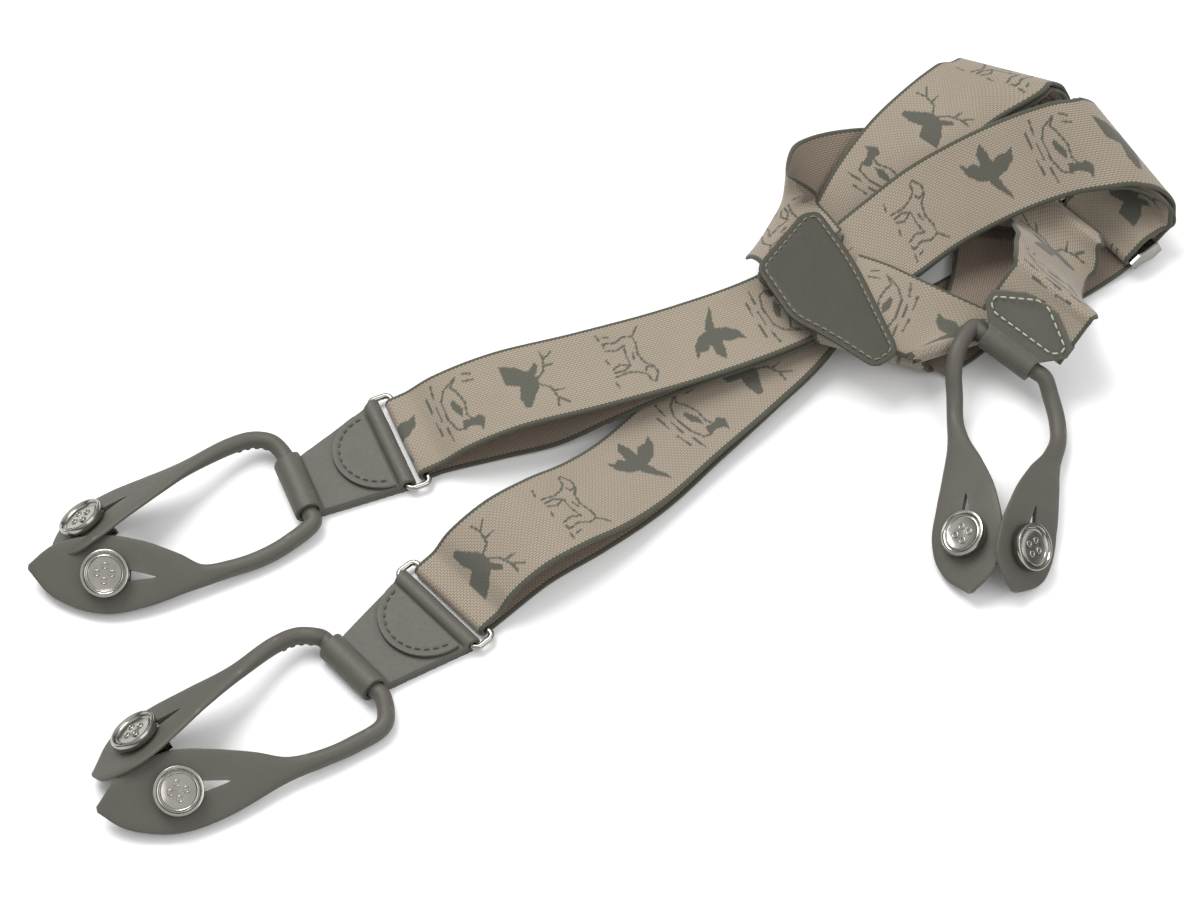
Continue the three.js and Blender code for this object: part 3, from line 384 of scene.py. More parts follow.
# ---- the button loops' routes ----
FLAT = LEAF_THICK / 2
LEVEL = [0, 0.88, 0.47]
LEANING = [0.34, -0.8, 0.5]
TURNING = [[0.1, -0.99, 0], [0.34, -0.9, 0.3]]
LEFT_LEAF_SIDE = [-0.84, 0.1, -0.54]
RIGHT_LEAF_SIDE = [0.76, 0.05, -0.65]


def leaf_stops(points, side):
    """A leaf from its tip to where it rolls into the cord."""
    shares = [0.08, 0.55, 0.88, 1, 0.86, 0.58, 0.3]
    thick = [FLAT, FLAT, FLAT, FLAT, FLAT * 1.05, FLAT * 1.3, FLAT * 2]
    square = [3, 4, 4, 4, 4, 3, 2.4]
    return [[p, side, LEAF_HALF * w, t, n] for p, w, t, n in zip(points, shares, thick, square)]


def cord_stops(points, sides):
    return [[p, sides[min(i, len(sides) - 1)], CORD_RADIUS, CORD_RADIUS, 2] for i, p in enumerate(points)]


def tunnel_points(place, x, y, z):
    offsets = (-TUNNEL_HALF - 4, -TUNNEL_HALF, 0, TUNNEL_HALF, TUNNEL_HALF + 4)
    return [list(place.at(x, y + offset, z)) for offset in offsets]


MOUTH = {
    name: tunnel_points(END[name], RING_DEPTH + EAR_LENGTH, END_SKEW[name], TUNNEL_Z)[::-1]
    for name in END
}

LOOPS = {
    "left": [
        *leaf_stops([[-196.5, -54.5, 7.5], [-190, -55.6, 8.4], [-180, -57.5, 9.4], [-169, -59, 9.9],
                     [-157, -58.7, 9.4], [-146, -57.9, 8], [-137, -56.8, 5.8]], LEVEL),
        *cord_stops([[-127.5, -53, 4.4], [-117.5, -48.5, 3.8], [-108.5, -42.5, 4]], [LEVEL]),
        *cord_stops(MOUTH["left"], [[-0.9, -0.4, 0]]),
        *cord_stops([[-116.5, -1.2, 6.4], [-123, -0.6, 7.2], [-130, -4, 8.6]], TURNING),
        *leaf_stops([[-189.5, -50, 6.4], [-186.5, -47.2, 7.6], [-183, -44.1, 9.1],
                     [-177.5, -39.6, 11.2], [-167.5, -32.8, 13.5], [-156, -25, 14],
                     [-145, -16.5, 12.5]], LEANING)[::-1],
    ],
    "right": [
        *leaf_stops([[-164, -148.5, 7.5], [-157.5, -147.4, 8.4], [-148, -145.3, 9.4],
                     [-137.5, -143, 9.9], [-125.5, -140, 9.4], [-113, -136, 8],
                     [-102.5, -132.4, 5.8]], LEVEL),
        *cord_stops([[-91.5, -127.5, 4.4], [-81.5, -122, 3.8], [-72, -114.5, 4]], [LEVEL]),
        *cord_stops(MOUTH["right"], [[-0.7, -0.7, 0]]),
        *cord_stops([[-96, -81.8, 6.4], [-102.5, -82, 7.2], [-109.5, -86.5, 9]], TURNING),
        *leaf_stops([[-167, -134, 4], [-163.5, -132.4, 7], [-158.5, -129.4, 10], [-151.5, -125, 12.6],
                     [-143.5, -118.8, 14.4], [-133.5, -110.5, 15], [-121.5, -99.5, 12.8]],
                    LEANING)[::-1],
    ],
    "back": [
        *leaf_stops([[126.8, -64, 6.1], [126.9, -59.5, 7.3], [126.9, -53, 9], [126.8, -44.5, 11.1],
                     [127.2, -31, 12.8], [127.2, -16, 11.2], [126.8, -2, 8.2]], LEFT_LEAF_SIDE),
        *cord_stops([[126.6, 8.5, 6.5], [126.7, 16.5, 9.5], [126.4, 23.5, 14.5], [128, 31, 18.5]],
                    [LEFT_LEAF_SIDE, [-0.95, 0, -0.3], [-0.95, 0, -0.3], [-0.7, 0.6, 0.2]]),
        *cord_stops(tunnel_points(TAB, 0, 0, 0), [[0.4, 0.55, 0.66]]),
        *cord_stops([[161, 17.5, 9], [163, 8.5, 6], [162.8, 0.5, 5]], [[0.9, 0.3, -0.1], [0.9, 0.1, -0.4]]),
        *leaf_stops([[142, -64, 6.7], [142.9, -60.5, 7.7], [144.2, -56, 9], [146.4, -49, 11.1],
                     [150.6, -35.5, 12.8], [155.2, -21.5, 11], [159.4, -9.5, 7.4]],
                    RIGHT_LEAF_SIDE)[::-1],
    ],
}


def clip_place(stops, index):
    """A clip's frame: +Z out of the leaf, +X along the leaf towards the cord."""
    share = index / (len(stops) - 1)
    point, along, _, up, _, _ = (rows[0] for rows in Route(stops).frames([share]))
    to_cord = along if share < 0.5 else -along
    return Place(point, to_cord, np.cross(up, to_cord))


# ---- meshes ----
def add_object(name, data):
    made = bpy.data.objects.new(name, data)
    bpy.context.scene.collection.objects.link(made)
    return made


def new_object(name, points, faces, body, slot, material):
    """A piece from points in millimetres of the CAD's own layout; it rides on a body.

    faces are arrays of corner numbers, a row for each face.
    """
    mesh = bpy.data.meshes.new(name)
    corners = np.concatenate([group.ravel() for group in faces]).astype(np.int32)
    sizes = np.concatenate([np.full(len(group), group.shape[1]) for group in faces])
    mesh.vertices.add(len(points))
    mesh.vertices.foreach_set("co", ((points + SHIFT) * MM).astype(np.float32).ravel())
    mesh.loops.add(len(corners))
    mesh.loops.foreach_set("vertex_index", corners)
    mesh.polygons.add(len(sizes))
    starts = np.concatenate([[0], np.cumsum(sizes)[:-1]])
    mesh.polygons.foreach_set("loop_start", starts.astype(np.int32))
    mesh.update(calc_edges=True)
    mesh.shade_smooth()
    mesh.materials.append(material)
    piece = add_object(name, mesh)
    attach(piece, body)
    return piece


def grid_faces(rows, columns, looped=False):
    """Quads of a grid whose columns close round into a tube, and its rows too if it is looped."""
    r, c = np.meshgrid(np.arange(rows if looped else rows - 1), np.arange(columns), indexing="ij")
    below, beside = (r + 1) % rows * columns, (c + 1) % columns
    here = r * columns
    return np.stack([here + c, here + beside, below + beside, below + c], axis=-1).reshape(-1, 4)


def skin(point, side, up, across, above):
    """A grid of points: a row for each frame, offset across and above it."""
    return point[:, None] + side[:, None] * across[..., None] + up[:, None] * above[..., None]


def closed_tube(grid):
    """Points and faces of a tube, with a fan over each end."""
    rows, columns = grid.shape[:2]
    points = np.vstack([grid.reshape(-1, 3), grid[0].mean(axis=0), grid[-1].mean(axis=0)])
    c = np.arange(columns)
    beside, last, centre = (c + 1) % columns, (rows - 1) * columns, np.full(columns, rows * columns)
    fans = [np.stack([beside, c, centre], 1), np.stack([last + c, last + beside, centre + 1], 1)]
    return points, [grid_faces(rows, columns), np.vstack(fans)]


def joined(parts):
    """Several (points, faces) as one."""
    faces, first = [], 0
    for points, groups in parts:
        faces += [group + first for group in groups]
        first += len(points)
    return np.vstack([points for points, _ in parts]), faces


def evaluated(piece):
    """Applies the piece's modifiers to its mesh."""
    graph = bpy.context.evaluated_depsgraph_get()
    made = bpy.data.meshes.new_from_object(piece.evaluated_get(graph))
    old = piece.data
    piece.modifiers.clear()
    piece.data = made
    bpy.data.meshes.remove(old)


def points_of(mesh):
    co = np.zeros(len(mesh.vertices) * 3, np.float32)
    mesh.vertices.foreach_get("co", co)
    return co.reshape(-1, 3).astype(float)


def normals_of(mesh):
    n = np.zeros(len(mesh.vertices) * 3, np.float32)
    mesh.vertex_normals.foreach_get("vector", n)
    return n.reshape(-1, 3).astype(float)


# ---- materials ----
class Nodes:
    """A small helper that adds and joins shader nodes."""

    def __init__(self, name):
        self.material = bpy.data.materials.new(name)
        self.material.use_nodes = True
        self.tree = self.material.node_tree
        self.shader = self.tree.nodes["Principled BSDF"]

    def add(self, kind, inputs=(), **settings):
        node = self.tree.nodes.new(kind)
        for key, value in settings.items():
            setattr(node, key, value)
        for key, value in dict(inputs).items():
            self.feed(node.inputs[key], value)
        return node

    def feed(self, socket, value):
        if isinstance(value, bpy.types.NodeSocket):
            self.tree.links.new(value, socket)
        else:
            socket.default_value = value

    def set(self, name, value):
        """Gives one of the shader's own inputs a number, a colour or another node's output."""
        self.feed(self.shader.inputs[name], value)

    def maths(self, operation, a, b=0.0, c=0.0):
        return self.add("ShaderNodeMath", enumerate((a, b, c)), operation=operation).outputs[0]

    def mix(self, factor, a, b):
        return self.add("ShaderNodeMix", {0: factor, 6: a, 7: b}, data_type="RGBA").outputs[2]

    def noise(self, scale, detail):
        inputs = {"Scale": scale, "Detail": detail, "Vector": self.place()}
        return self.add("ShaderNodeTexNoise", inputs).outputs["Fac"]

    def place(self):
        return self.add("ShaderNodeTexCoord").outputs["Object"]

    def bump(self, height, distance, strength, normal=None):
        inputs = {"Distance": distance, "Strength": strength, "Height": height}
        if normal is not None:
            inputs["Normal"] = normal
        return self.add("ShaderNodeBump", inputs).outputs["Normal"]


def colour(red, green, blue):
    """sRGB 0 to 255 as the linear colour a shader socket holds."""
    shares = [v / 255 for v in (red, green, blue)]
    linear = [((v + 0.055) / 1.055) ** 2.4 if v > 0.04 else v / 12.92 for v in shares]
    return (*linear, 1.0)


YARN = colour(154, 143, 127)
# painted shade: the colour the grooves between the ribs darken to; the random clouds also darken towards it
YARN_SHADE = colour(98, 90, 78)
MOTIF_YARN = colour(74, 75, 67)
SELVEDGE = colour(72, 72, 61)
REVERSE_YARN = colour(138, 124, 109)
# painted shade: the colour the grooves between the ribs on the reverse darken to
REVERSE_SHADE = colour(84, 75, 65)
RIB_PITCH = 0.85
FLOAT_LENGTH = 1.5
SELVEDGE_WIDTH = 1.5
SELVEDGE_TEETH = 0.22  # how far the selvedge's edge swings to either side
YARN_GAP = 0.16


def webbing_material():
    n = Nodes("woven_webbing")
    uv = n.add("ShaderNodeUVMap", uv_map="UVMap").outputs["UV"]
    split = n.add("ShaderNodeSeparateXYZ", {0: uv})
    along, across = split.outputs[0], split.outputs[1]
    rows = {"Vector": uv, "Scale": 1.0, "Brick Width": FLOAT_LENGTH * MM, "Row Height": RIB_PITCH * MM,
            "Mortar Size": YARN_GAP * MM, "Mortar Smooth": 0.6}
    gaps = n.add("ShaderNodeTexBrick", rows, offset=0.5, squash=1.0).outputs["Fac"]
    cloudy = n.noise(60, 3)
    # painted shade in the grooves between the ribs, then random darker clouds
    yarn = n.mix(n.maths("MULTIPLY", gaps, 0.75), YARN, YARN_SHADE)
    yarn = n.mix(n.maths("MULTIPLY", cloudy, 0.22), yarn, YARN_SHADE)
    motif = n.add("ShaderNodeAttribute", attribute_name="motif").outputs["Fac"]
    drawn = n.maths("MULTIPLY", motif, n.maths("SUBTRACT", 1.0, n.maths("MULTIPLY", gaps, 0.25)))
    face = n.mix(drawn, yarn, MOTIF_YARN)
    # the reverse face, with painted shade in the grooves between its ribs
    inner = n.mix(n.maths("MULTIPLY", gaps, 0.8), REVERSE_YARN, REVERSE_SHADE)
    reverse = n.add("ShaderNodeAttribute", attribute_name="reverse").outputs["Fac"]
    cloth = n.mix(reverse, face, inner)
    teeth = n.maths("SINE", n.maths("MULTIPLY", along, 2 * math.pi / (FLOAT_LENGTH * MM)))
    limit = n.maths("MULTIPLY_ADD", teeth, SELVEDGE_TEETH * MM, (WEB_WIDTH / 2 - SELVEDGE_WIDTH) * MM)
    edge = n.maths("GREATER_THAN", n.maths("ABSOLUTE", across), limit)
    whole = n.mix(edge, cloth, SELVEDGE)
    n.set("Base Color", whole)
    fuzz = n.noise(2600, 2)
    n.set("Roughness", n.maths("MULTIPLY_ADD", fuzz, 0.2, 0.72))
    n.set("Sheen Weight", 0.18)
    n.set("Sheen Roughness", 0.5)
    n.set("Specular IOR Level", 0.25)
    ribs = n.maths("SUBTRACT", 1.0, gaps)
    woven = n.bump(ribs, 0.12 * MM, 0.7)
    woven = n.bump(motif, 0.12 * MM, 0.6, woven)
    n.set("Normal", n.bump(fuzz, 0.05 * MM, 0.4, woven))
    return n.material


def leather_material(name, face, worn, dark):
    n = Nodes(name)
    broad = n.noise(90, 4)
    fine = n.noise(700, 3)
    pebbles = {"Vector": n.place(), "Scale": 1500}
    cells = n.add("ShaderNodeTexVoronoi", pebbles, feature="DISTANCE_TO_EDGE")
    grain = n.maths("MINIMUM", n.maths("MULTIPLY", cells.outputs["Distance"], 4.0), 1.0)
    tone = n.mix(n.maths("MULTIPLY", broad, 0.55), face, dark)
    pointed = n.add("ShaderNodeNewGeometry").outputs["Pointiness"]
    rub = n.add("ShaderNodeMapRange", {"Value": pointed, "From Min": 0.52, "From Max": 0.62})
    tone = n.mix(n.maths("MULTIPLY", rub.outputs[0], 0.45), tone, worn)
    tone = n.mix(n.maths("MULTIPLY", n.maths("SUBTRACT", 1.0, grain), 0.25), tone, dark)
    n.set("Base Color", tone)
    n.set("Roughness", n.maths("MULTIPLY_ADD", fine, 0.25, 0.42))
    n.set("Specular IOR Level", 0.4)
    pores = n.bump(grain, 0.04 * MM, 0.45)
    n.set("Normal", n.bump(broad, 0.25 * MM, 0.25, pores))
    return n.material


def nickel_material():
    n = Nodes("polished_nickel")
    smear = n.noise(140, 3)
    n.set("Metallic", 1.0)
    n.set("Base Color", n.mix(smear, colour(176, 173, 166), colour(138, 135, 129)))
    n.set("Roughness", n.maths("MULTIPLY_ADD", smear, 0.14, 0.1))
    scratches = n.noise(2200, 2)
    n.set("Normal", n.bump(scratches, 0.01 * MM, 0.25))
    return n.material


def thread_material(name, light, dark):
    n = Nodes(name)
    ply = n.noise(5200, 1)
    n.set("Base Color", n.mix(ply, light, dark))
    n.set("Roughness", n.maths("MULTIPLY_ADD", ply, 0.2, 0.6))
    n.set("Sheen Weight", 0.3)
    n.set("Normal", n.bump(ply, 0.04 * MM, 0.5))
    return n.material


WEBBING = webbing_material()
LOOP_LEATHER = leather_material(
    "smooth_leather", face=colour(84, 82, 74), worn=colour(116, 113, 102), dark=colour(66, 64, 57))
PATCH_LEATHER_LOOK = leather_material(
    "patch_leather", face=colour(62, 60, 49), worn=colour(92, 90, 76), dark=colour(48, 46, 37))
NICKEL = nickel_material()
TONE_THREAD = thread_material("tone_thread", colour(120, 120, 104), colour(88, 88, 76))
DARK_THREAD = thread_material("dark_thread", colour(76, 74, 66), colour(50, 48, 43))
PALE_THREAD = thread_material("pale_thread", colour(176, 182, 160), colour(140, 146, 124))

# ---- woven motifs, drawn for this webbing ----
# Each motif faces +X and stands up along +Y. MOTIFS gives its place in the repeat and its facing.
FLYING_BIRD = {
    "fills": [
        [(-12, 1), (-8, 2.2), (-3, 2.6), (2, 2.3), (6, 3), (9.4, 4.3), (12, 4.2), (9.8, 3), (7, 1),
         (3, -1.3), (-3, -2.1), (-9, -1.6)],
        [(-3, 2), (2, 2), (1, 6), (-2, 9.6), (-6.5, 11), (-5, 8), (-5.6, 5)],
        [(-3.4, -1.6), (2, -1), (0.6, -4.5), (-3, -7.6), (-8.5, -8.8), (-6, -6.4), (-6.6, -4)],
    ],
    "lines": [],
}
STAG = {
    "fills": [
        [(-10, -9), (-1.5, -9), (0.5, -4.6), (5.5, -6), (9.6, -5.6), (10.2, -3.6), (6, -0.8),
         (2.6, 1.8), (-1.4, 2.4), (-4.6, 0.2), (-8, -4)],
        [(-2, 1.4), (-6.5, 4.2), (-8, 3), (-4.6, 0)],
    ],
    "lines": [
        [(-1, 2), (-3.6, 5), (-8.4, 6.6), (-11, 10)],
        [(-5.6, 5.7), (-6, 9.4)],
        [(-8.4, 6.6), (-12, 6.4)],
        [(1.4, 2), (3.6, 5.4), (8.4, 6.4), (11.4, 9.6)],
        [(5.4, 5.8), (5.6, 9.6)],
        [(8.4, 6.4), (12, 5.6)],
    ],
}
DOG = {
    "fills": [],
    "lines": [
        [(-12.5, 6.5), (-9, 3.4), (-5.4, 3.6), (-1, 2.6), (3, 3.6), (5.4, 6), (8.6, 6.8), (12, 4.8),
         (11.4, 3.4), (8.6, 3), (6.6, 0.4), (5.6, -3.2), (6.4, -8)],
        [(-9, 3.4), (-9.6, 0), (-8, -3.4), (-8.8, -7.6), (-7, -7.8)],
        [(-6, -0.6), (-4.6, -4), (-5.6, -7.6)],
        [(-6, -0.8), (-1, -1.6), (3, -1.4), (4.6, -4.6), (4.4, -8)],
        [(3, -1.4), (1.6, -5), (3, -8)],
        [(5.8, 5.6), (5.2, 3.6), (6.8, 3)],
        [(-2, 1.2), (0.6, 0.6)],
        [(-13, -9), (-10.6, -8.4)],
        [(-1.6, -9), (0.4, -8.4)],
        [(8.6, -8.8), (11, -8.2)],
        [(-11.6, -6.6), (-11, -4.8)],
    ],
}
SWIMMING_BIRD = {
    "fills": [
        [(5.6, 1), (6.4, 4.4), (5.8, 7), (8, 8.6), (10.4, 7.6), (12.6, 6.4), (10.2, 5.8), (9, 3), (9, 0)],
        [(-4, 0.6), (1, 2.6), (4.4, 1.6), (1, -0.4), (-3, -0.8)],
    ],
    "lines": [
        [(-12, 4.2), (-9, 1.6), (-6, 3), (-1, 4.2), (4, 3.2), (6.4, 4.2)],
        [(9.4, 1), (8.4, -2), (3, -3.6), (-5, -3.4), (-9, -1), (-12, 4.2)],
        [(-13, -4.6), (-7.6, -5.4)],
        [(-4, -5.8), (2, -6)],
        [(5.6, -5.2), (11.6, -4.8)],
        [(-9, -8), (-3, -8.2)],
        [(1.4, -8.4), (7.4, -8)],
        [(-12.6, 7), (-11.4, 9.6)],
        [(-9.4, 6.4), (-8.6, 9.8)],
    ],
}
MOTIFS = [(STAG, 0, 1), (SWIMMING_BIRD, 29, 1), (FLYING_BIRD, 55, 1), (DOG, 86, -1)]
REPEAT = 123.0
MOTIF_REACH = 15.0
MOTIF_SIZE = 1.02
LINE_HALF = 0.38


def inside(x, y, corners):
    """Which points lie inside a polygon."""
    hit = np.zeros(x.shape, bool)
    for (x0, y0), (x1, y1) in zip(corners, corners[1:] + corners[:1]):
        crosses = (y0 > y) != (y1 > y)
        if y0 != y1:
            hit ^= crosses & (x < (x1 - x0) * (y - y0) / (y1 - y0) + x0)
    return hit


def near_line(x, y, line):
    """Which points lie within LINE_HALF of a line of straight pieces."""
    hit = np.zeros(x.shape, bool)
    for (x0, y0), (x1, y1) in zip(line, line[1:]):
        dx, dy = x1 - x0, y1 - y0
        share = np.clip(((x - x0) * dx + (y - y0) * dy) / (dx * dx + dy * dy), 0, 1)
        hit |= np.hypot(x - x0 - share * dx, y - y0 - share * dy) < LINE_HALF
    return hit


def motif_at(along, across, start, repeat):
    """Where a woven figure shows. Every second repeat is mirrored across the webbing."""
    shown = np.zeros(along.shape, bool)
    for mirrored in (0, 1):
        for figure, offset, facing in MOTIFS:
            middle = start + mirrored * repeat + offset * repeat / REPEAT
            up = -((along - middle + repeat) % (2 * repeat) - repeat) / MOTIF_SIZE
            here = np.abs(up) < MOTIF_REACH
            x, y = across[here] * facing * (1 - 2 * mirrored) / MOTIF_SIZE, up[here]
            hit = np.zeros(x.shape, bool)
            for corners in figure["fills"]:
                hit |= inside(x, y, corners)
            for line in figure["lines"]:
                hit |= near_line(x, y, line)
            shown[here] |= hit
    return shown


# ---- webbing ----
# The first stag's place along each strap, and the length of one repeat of the four figures there.
MOTIF_LEFT = (192.0, 123.0)
MOTIF_RIGHT = (114.0, 128.0)
MOTIF_BACK = (174.0, 123.0)
ROW_STEP = 0.5
FACE_COLUMNS = 71
REVERSE_COLUMNS = 24
EDGE_SHARE = 0.05  # of the half width, taken by the rounded edge
EDGE_TURNS = (0, 25, 50, 70)
MOTIF_MARGIN = 2.0  # plain webbing kept along each edge


def band_section():
    """The closed section: (share across, share of the thickness, on the reverse)."""
    rounded = [1 - EDGE_SHARE * (1 - math.sin(math.radians(a))) for a in EDGE_TURNS]
    heights = [math.cos(math.radians(a)) / 2 for a in EDGE_TURNS]
    face = [(-x, z, 0) for x, z in zip(rounded[::-1], heights[::-1])]
    face += [(x, 0.5, 0) for x in np.linspace(rounded[0], -rounded[0], FACE_COLUMNS)[::-1][1:-1]]
    face += [(x, z, 0) for x, z in zip(rounded, heights)]
    back = [(x, -z, 1) for x, z in zip(rounded[::-1], heights[::-1])]
    back += [(x, -0.5, 1) for x in np.linspace(rounded[0], -rounded[0], REVERSE_COLUMNS)[1:-1]]
    back += [(-x, -z, 1) for x, z in zip(rounded, heights)]
    return np.array([(-1, 0, 0), *face, (1, 0, 0), *back])


def webbing_piece(name, stops, motif):
    route = Route(stops)
    t, reach = route.spaced(ROW_STEP)
    point, _, side, up, square, values = route.frames(t)
    section = band_section()
    share, height, reverse = section.T
    bow = values[:, :1]
    half = np.sqrt((WEB_WIDTH / 2) ** 2 - 4 / 3 * bow**2) / square
    lift = -bow * share**2 + height * WEB_THICK
    lean = 2 * bow * share / half
    spread = half * share + height * WEB_THICK * lean / np.hypot(1, lean)
    rows, columns = len(t), len(section)
    tube = closed_tube(skin(point, side, up, spread, lift))
    piece = new_object(name, *tube, "webbing", "webbing", WEBBING)
    mesh = piece.data
    along = np.concatenate([np.repeat(reach, columns), [reach[0], reach[-1]]])
    across = np.concatenate([np.tile(share * WEB_WIDTH / 2, rows), [0, 0]])
    back = np.concatenate([np.tile(reverse, rows), [1, 1]])
    clear = (back == 0) & (np.abs(across) < WEB_WIDTH / 2 - MOTIF_MARGIN)
    drawn = motif_at(along, across, *motif) & clear
    for key, data in (("motif", drawn), ("reverse", back)):
        layer = mesh.attributes.new(key, "FLOAT", "POINT")
        layer.data.foreach_set("value", data.astype(np.float32))
    corner = np.zeros(len(mesh.loops), np.int32)
    mesh.loops.foreach_get("vertex_index", corner)
    uv = mesh.uv_layers.new(name="UVMap")
    uv.data.foreach_set("uv", (np.stack([along, across], 1)[corner] * MM).astype(np.float32).ravel())
    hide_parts(name.replace("_webbing", ""))


# ---- stitching ----
STITCH = 2.3
STITCH_GAP = 0.9
THREAD_RADIUS = 0.34
THREAD_SUNK = 0.18  # how deep a thread's middle line is pulled into the leather
THREAD_AROUND = 8
THREAD_RINGS = 7


def resample(line, step, closed=False):
    """Points about one step apart along a line."""
    line = np.asarray(line, float)
    if closed:
        line = np.vstack([line, line[:1]])
    reach = distances(line)
    wanted = np.linspace(0, reach[-1], max(2, round(reach[-1] / step)) + 1)
    return between(wanted, reach, line)


def stitches(name, lines, body, slot, thread):
    """Short threads along lines of (point, normal) rows: each rises out of the leather and dives back."""
    pitch = STITCH + STITCH_GAP
    share = np.linspace(-1, 1, THREAD_RINGS)[:, None]
    rise = THREAD_RADIUS * (1 - 1.5 * share**4) - THREAD_SUNK
    thick = THREAD_RADIUS * (1 - 0.45 * share**6)
    turns = full_turn(THREAD_AROUND)
    threads = []
    for line, normals in lines:
        reach = distances(line)
        count = int(reach[-1] // pitch)
        for k in range(count):
            start = (reach[-1] - count * pitch) / 2 + k * pitch
            wanted = np.linspace(start, start + STITCH, THREAD_RINGS)
            at = between(wanted, reach, line)
            up = normalised(between(wanted, reach, normals))
            side = np.cross(up, normalised(np.gradient(at, axis=0)))
            grid = skin(at, side, up, thick * np.cos(turns), rise + thick * np.sin(turns))
            threads.append(closed_tube(grid))
    new_object(name, *joined(threads), body, slot, thread)


# ---- leather made over the CAD solids ----
VOXEL = 0.32
HIDE_WAVES = ((130, 0.09), (420, 0.03))  # how often a metre, and how high, the surface swells
GROOVE_DEPTH = 0.35  # between two leathers, seen on their cut edges
GROOVE_HALF = 0.28
PRESS_DEPTH = 0.2  # a stitch line pressed into the leather
PRESS_HALF = 0.6
PRESS_REACH = 1.6


def leather_over(node, name, body, material, layers=None, pressed=()):
    """A soft skin of a CAD leather: rounded edges, hand-worked surface and pressed stitch lines.

    layers is a Place and height where two leathers meet, shown as a fine groove along the cut edges.
    pressed are stitch lines, which sink a little into the surface.
    """
    piece = add_object(name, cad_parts[node].data.copy())
    remesh = piece.modifiers.new("remesh", "REMESH")
    remesh.mode = "VOXEL"
    remesh.voxel_size = VOXEL * MM
    soften = piece.modifiers.new("soften", "SMOOTH")
    soften.factor = 0.5
    soften.iterations = 4
    evaluated(piece)
    mesh = piece.data
    co, normal = points_of(mesh), normals_of(mesh)
    push = sum(np.array([noise.noise(Vector(p) * often) for p in co]) * high for often, high in HIDE_WAVES)
    layout = co / MM - SHIFT
    if layers is not None:
        place, height = layers
        local = (layout - place.origin) @ place.axes.T
        facing = np.abs(normal @ place.axes[2])
        groove = np.exp(-(((local[:, 2] - height) / GROOVE_HALF) ** 2))
        push -= GROOVE_DEPTH * groove * (facing < 0.5)
    for line, _ in pressed:
        for p in resample(line, 0.5):
            near = np.abs(layout - p).max(axis=1) < PRESS_REACH
            gap = np.linalg.norm(layout[near] - p, axis=1)
            depth = np.zeros(len(layout))
            depth[near] = -PRESS_DEPTH * np.exp(-((gap / PRESS_HALF) ** 2))
            push = np.minimum(push, np.where(near, depth, push))
    mesh.vertices.foreach_set("co", (co + normal * push[:, None] * MM).astype(np.float32).ravel())
    mesh.update()
    mesh.materials.clear()
    mesh.materials.append(material)
    mesh.shade_smooth()
    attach(piece, body)
    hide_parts(node)


def constant_normal(line, direction):
    """A stitch line on a flat face: its points, each with the face's direction."""
    return np.asarray(line, float), np.tile(np.asarray(direction, float), (len(line), 1))


SEAM_INSET = 2.4  # from a patch's or tab's edge to its stitches
FLAP_SEAM_INSET = 2.6
RING_AROUND = 24


def front_end(side):
    """Ring, ear and sewn half-round flap of one front end."""
    place = END[side]
    start = RING_DEPTH + RING_WIRE + CLEARANCE + LEATHER + 0.6
    top = EAR_TOP + CLEARANCE + LEATHER * 0.7
    turn = np.radians(np.linspace(-84, 84, 60))
    inner = FLAP_RADIUS - FLAP_SEAM_INSET
    middle = END_SKEW[side] * 0.25
    arc = place.all([[start + inner * math.cos(a), middle + inner * math.sin(a), top] for a in turn])
    seam = [constant_normal(arc, place.axes[2])]
    body = f"ear_{side}"
    meeting = (place, LEATHER + 0.3)
    leather_over(f"ear_{side}", f"ear_{side}_leather", body, LOOP_LEATHER, meeting)
    leather_over(f"ear_flap_{side}", f"ear_flap_{side}_leather", body, LOOP_LEATHER,
                 pressed=seam)
    stitches(f"ear_{side}_stitching", seam, body, "loop_leather", DARK_THREAD)
    ring_piece(side)


def ring_piece(side):
    place = END[side]
    half, corner = WEB_WIDTH / 2 + RING_SIDE + RING_WIRE, 2.2
    middles = [(RING_DEPTH - corner, half - corner, 0), (corner, half - corner, 90),
               (corner, corner - half, 180), (RING_DEPTH - corner, corner - half, 270)]
    line = []
    for x, y, first in middles:
        for a in np.radians(np.linspace(first, first + 90, 11)):
            line.append((x + corner * math.cos(a), y + corner * math.sin(a), a))
    x, y, a = np.array(line).T[..., None]
    b = full_turn(RING_AROUND)
    out = RING_WIRE * np.cos(b)
    grid = place.grid(x + out * np.cos(a), y + out * np.sin(a), RING_Z + RING_WIRE * np.sin(b))
    faces = [grid_faces(len(line), RING_AROUND, looped=True)]
    ring = new_object(f"ring_{side}_wire", grid.reshape(-1, 3), faces, f"ring_{side}", "nickel", NICKEL)
    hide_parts(f"ring_{side}")


# ---- button loops ----
LOOP_AROUND = 56
LOOP_STEP = 0.8
CORD_SEAM_ANGLE = 20
CORD_GROOVE = 0.13  # the rolled edge's groove: a share of the radius, and its half width in radians
CORD_GROOVE_HALF = 0.11
CORD_STITCH_TURN = 0.34  # from the groove round to the stitches, in radians


def flowing(route, t, reach):
    """The stops' values along the route, by cubics that pass smoothly from stop to stop."""
    knots = np.interp(np.arange(route.last + 1) / route.last, t, reach)
    slope = np.gradient(route.values, knots, axis=0)
    i = np.clip(np.searchsorted(knots, reach, side="right") - 1, 0, route.last - 1)
    span = (knots[i + 1] - knots[i])[:, None]
    w = (reach - knots[i])[:, None] / span
    start, end = route.values[i], route.values[i + 1]
    rise = w * w * (3 - 2 * w)
    bend = w * (1 - w) ** 2 * slope[i] * span - w * w * (1 - w) * slope[i + 1] * span
    return start + (end - start) * rise + bend


def loop_section(values):
    """Sections of a leather loop: flat with cut edges in a leaf, round in the cord."""
    turn = full_turn(LOOP_AROUND)
    half, thick, power = values[:, :1], values[:, 1:2], values[:, 2:3]
    across = np.sign(np.sin(turn)) * np.abs(np.sin(turn)) ** (2 / power) * half
    above = np.sign(np.cos(turn)) * np.abs(np.cos(turn)) ** (2 / power) * thick
    return turn, across, above


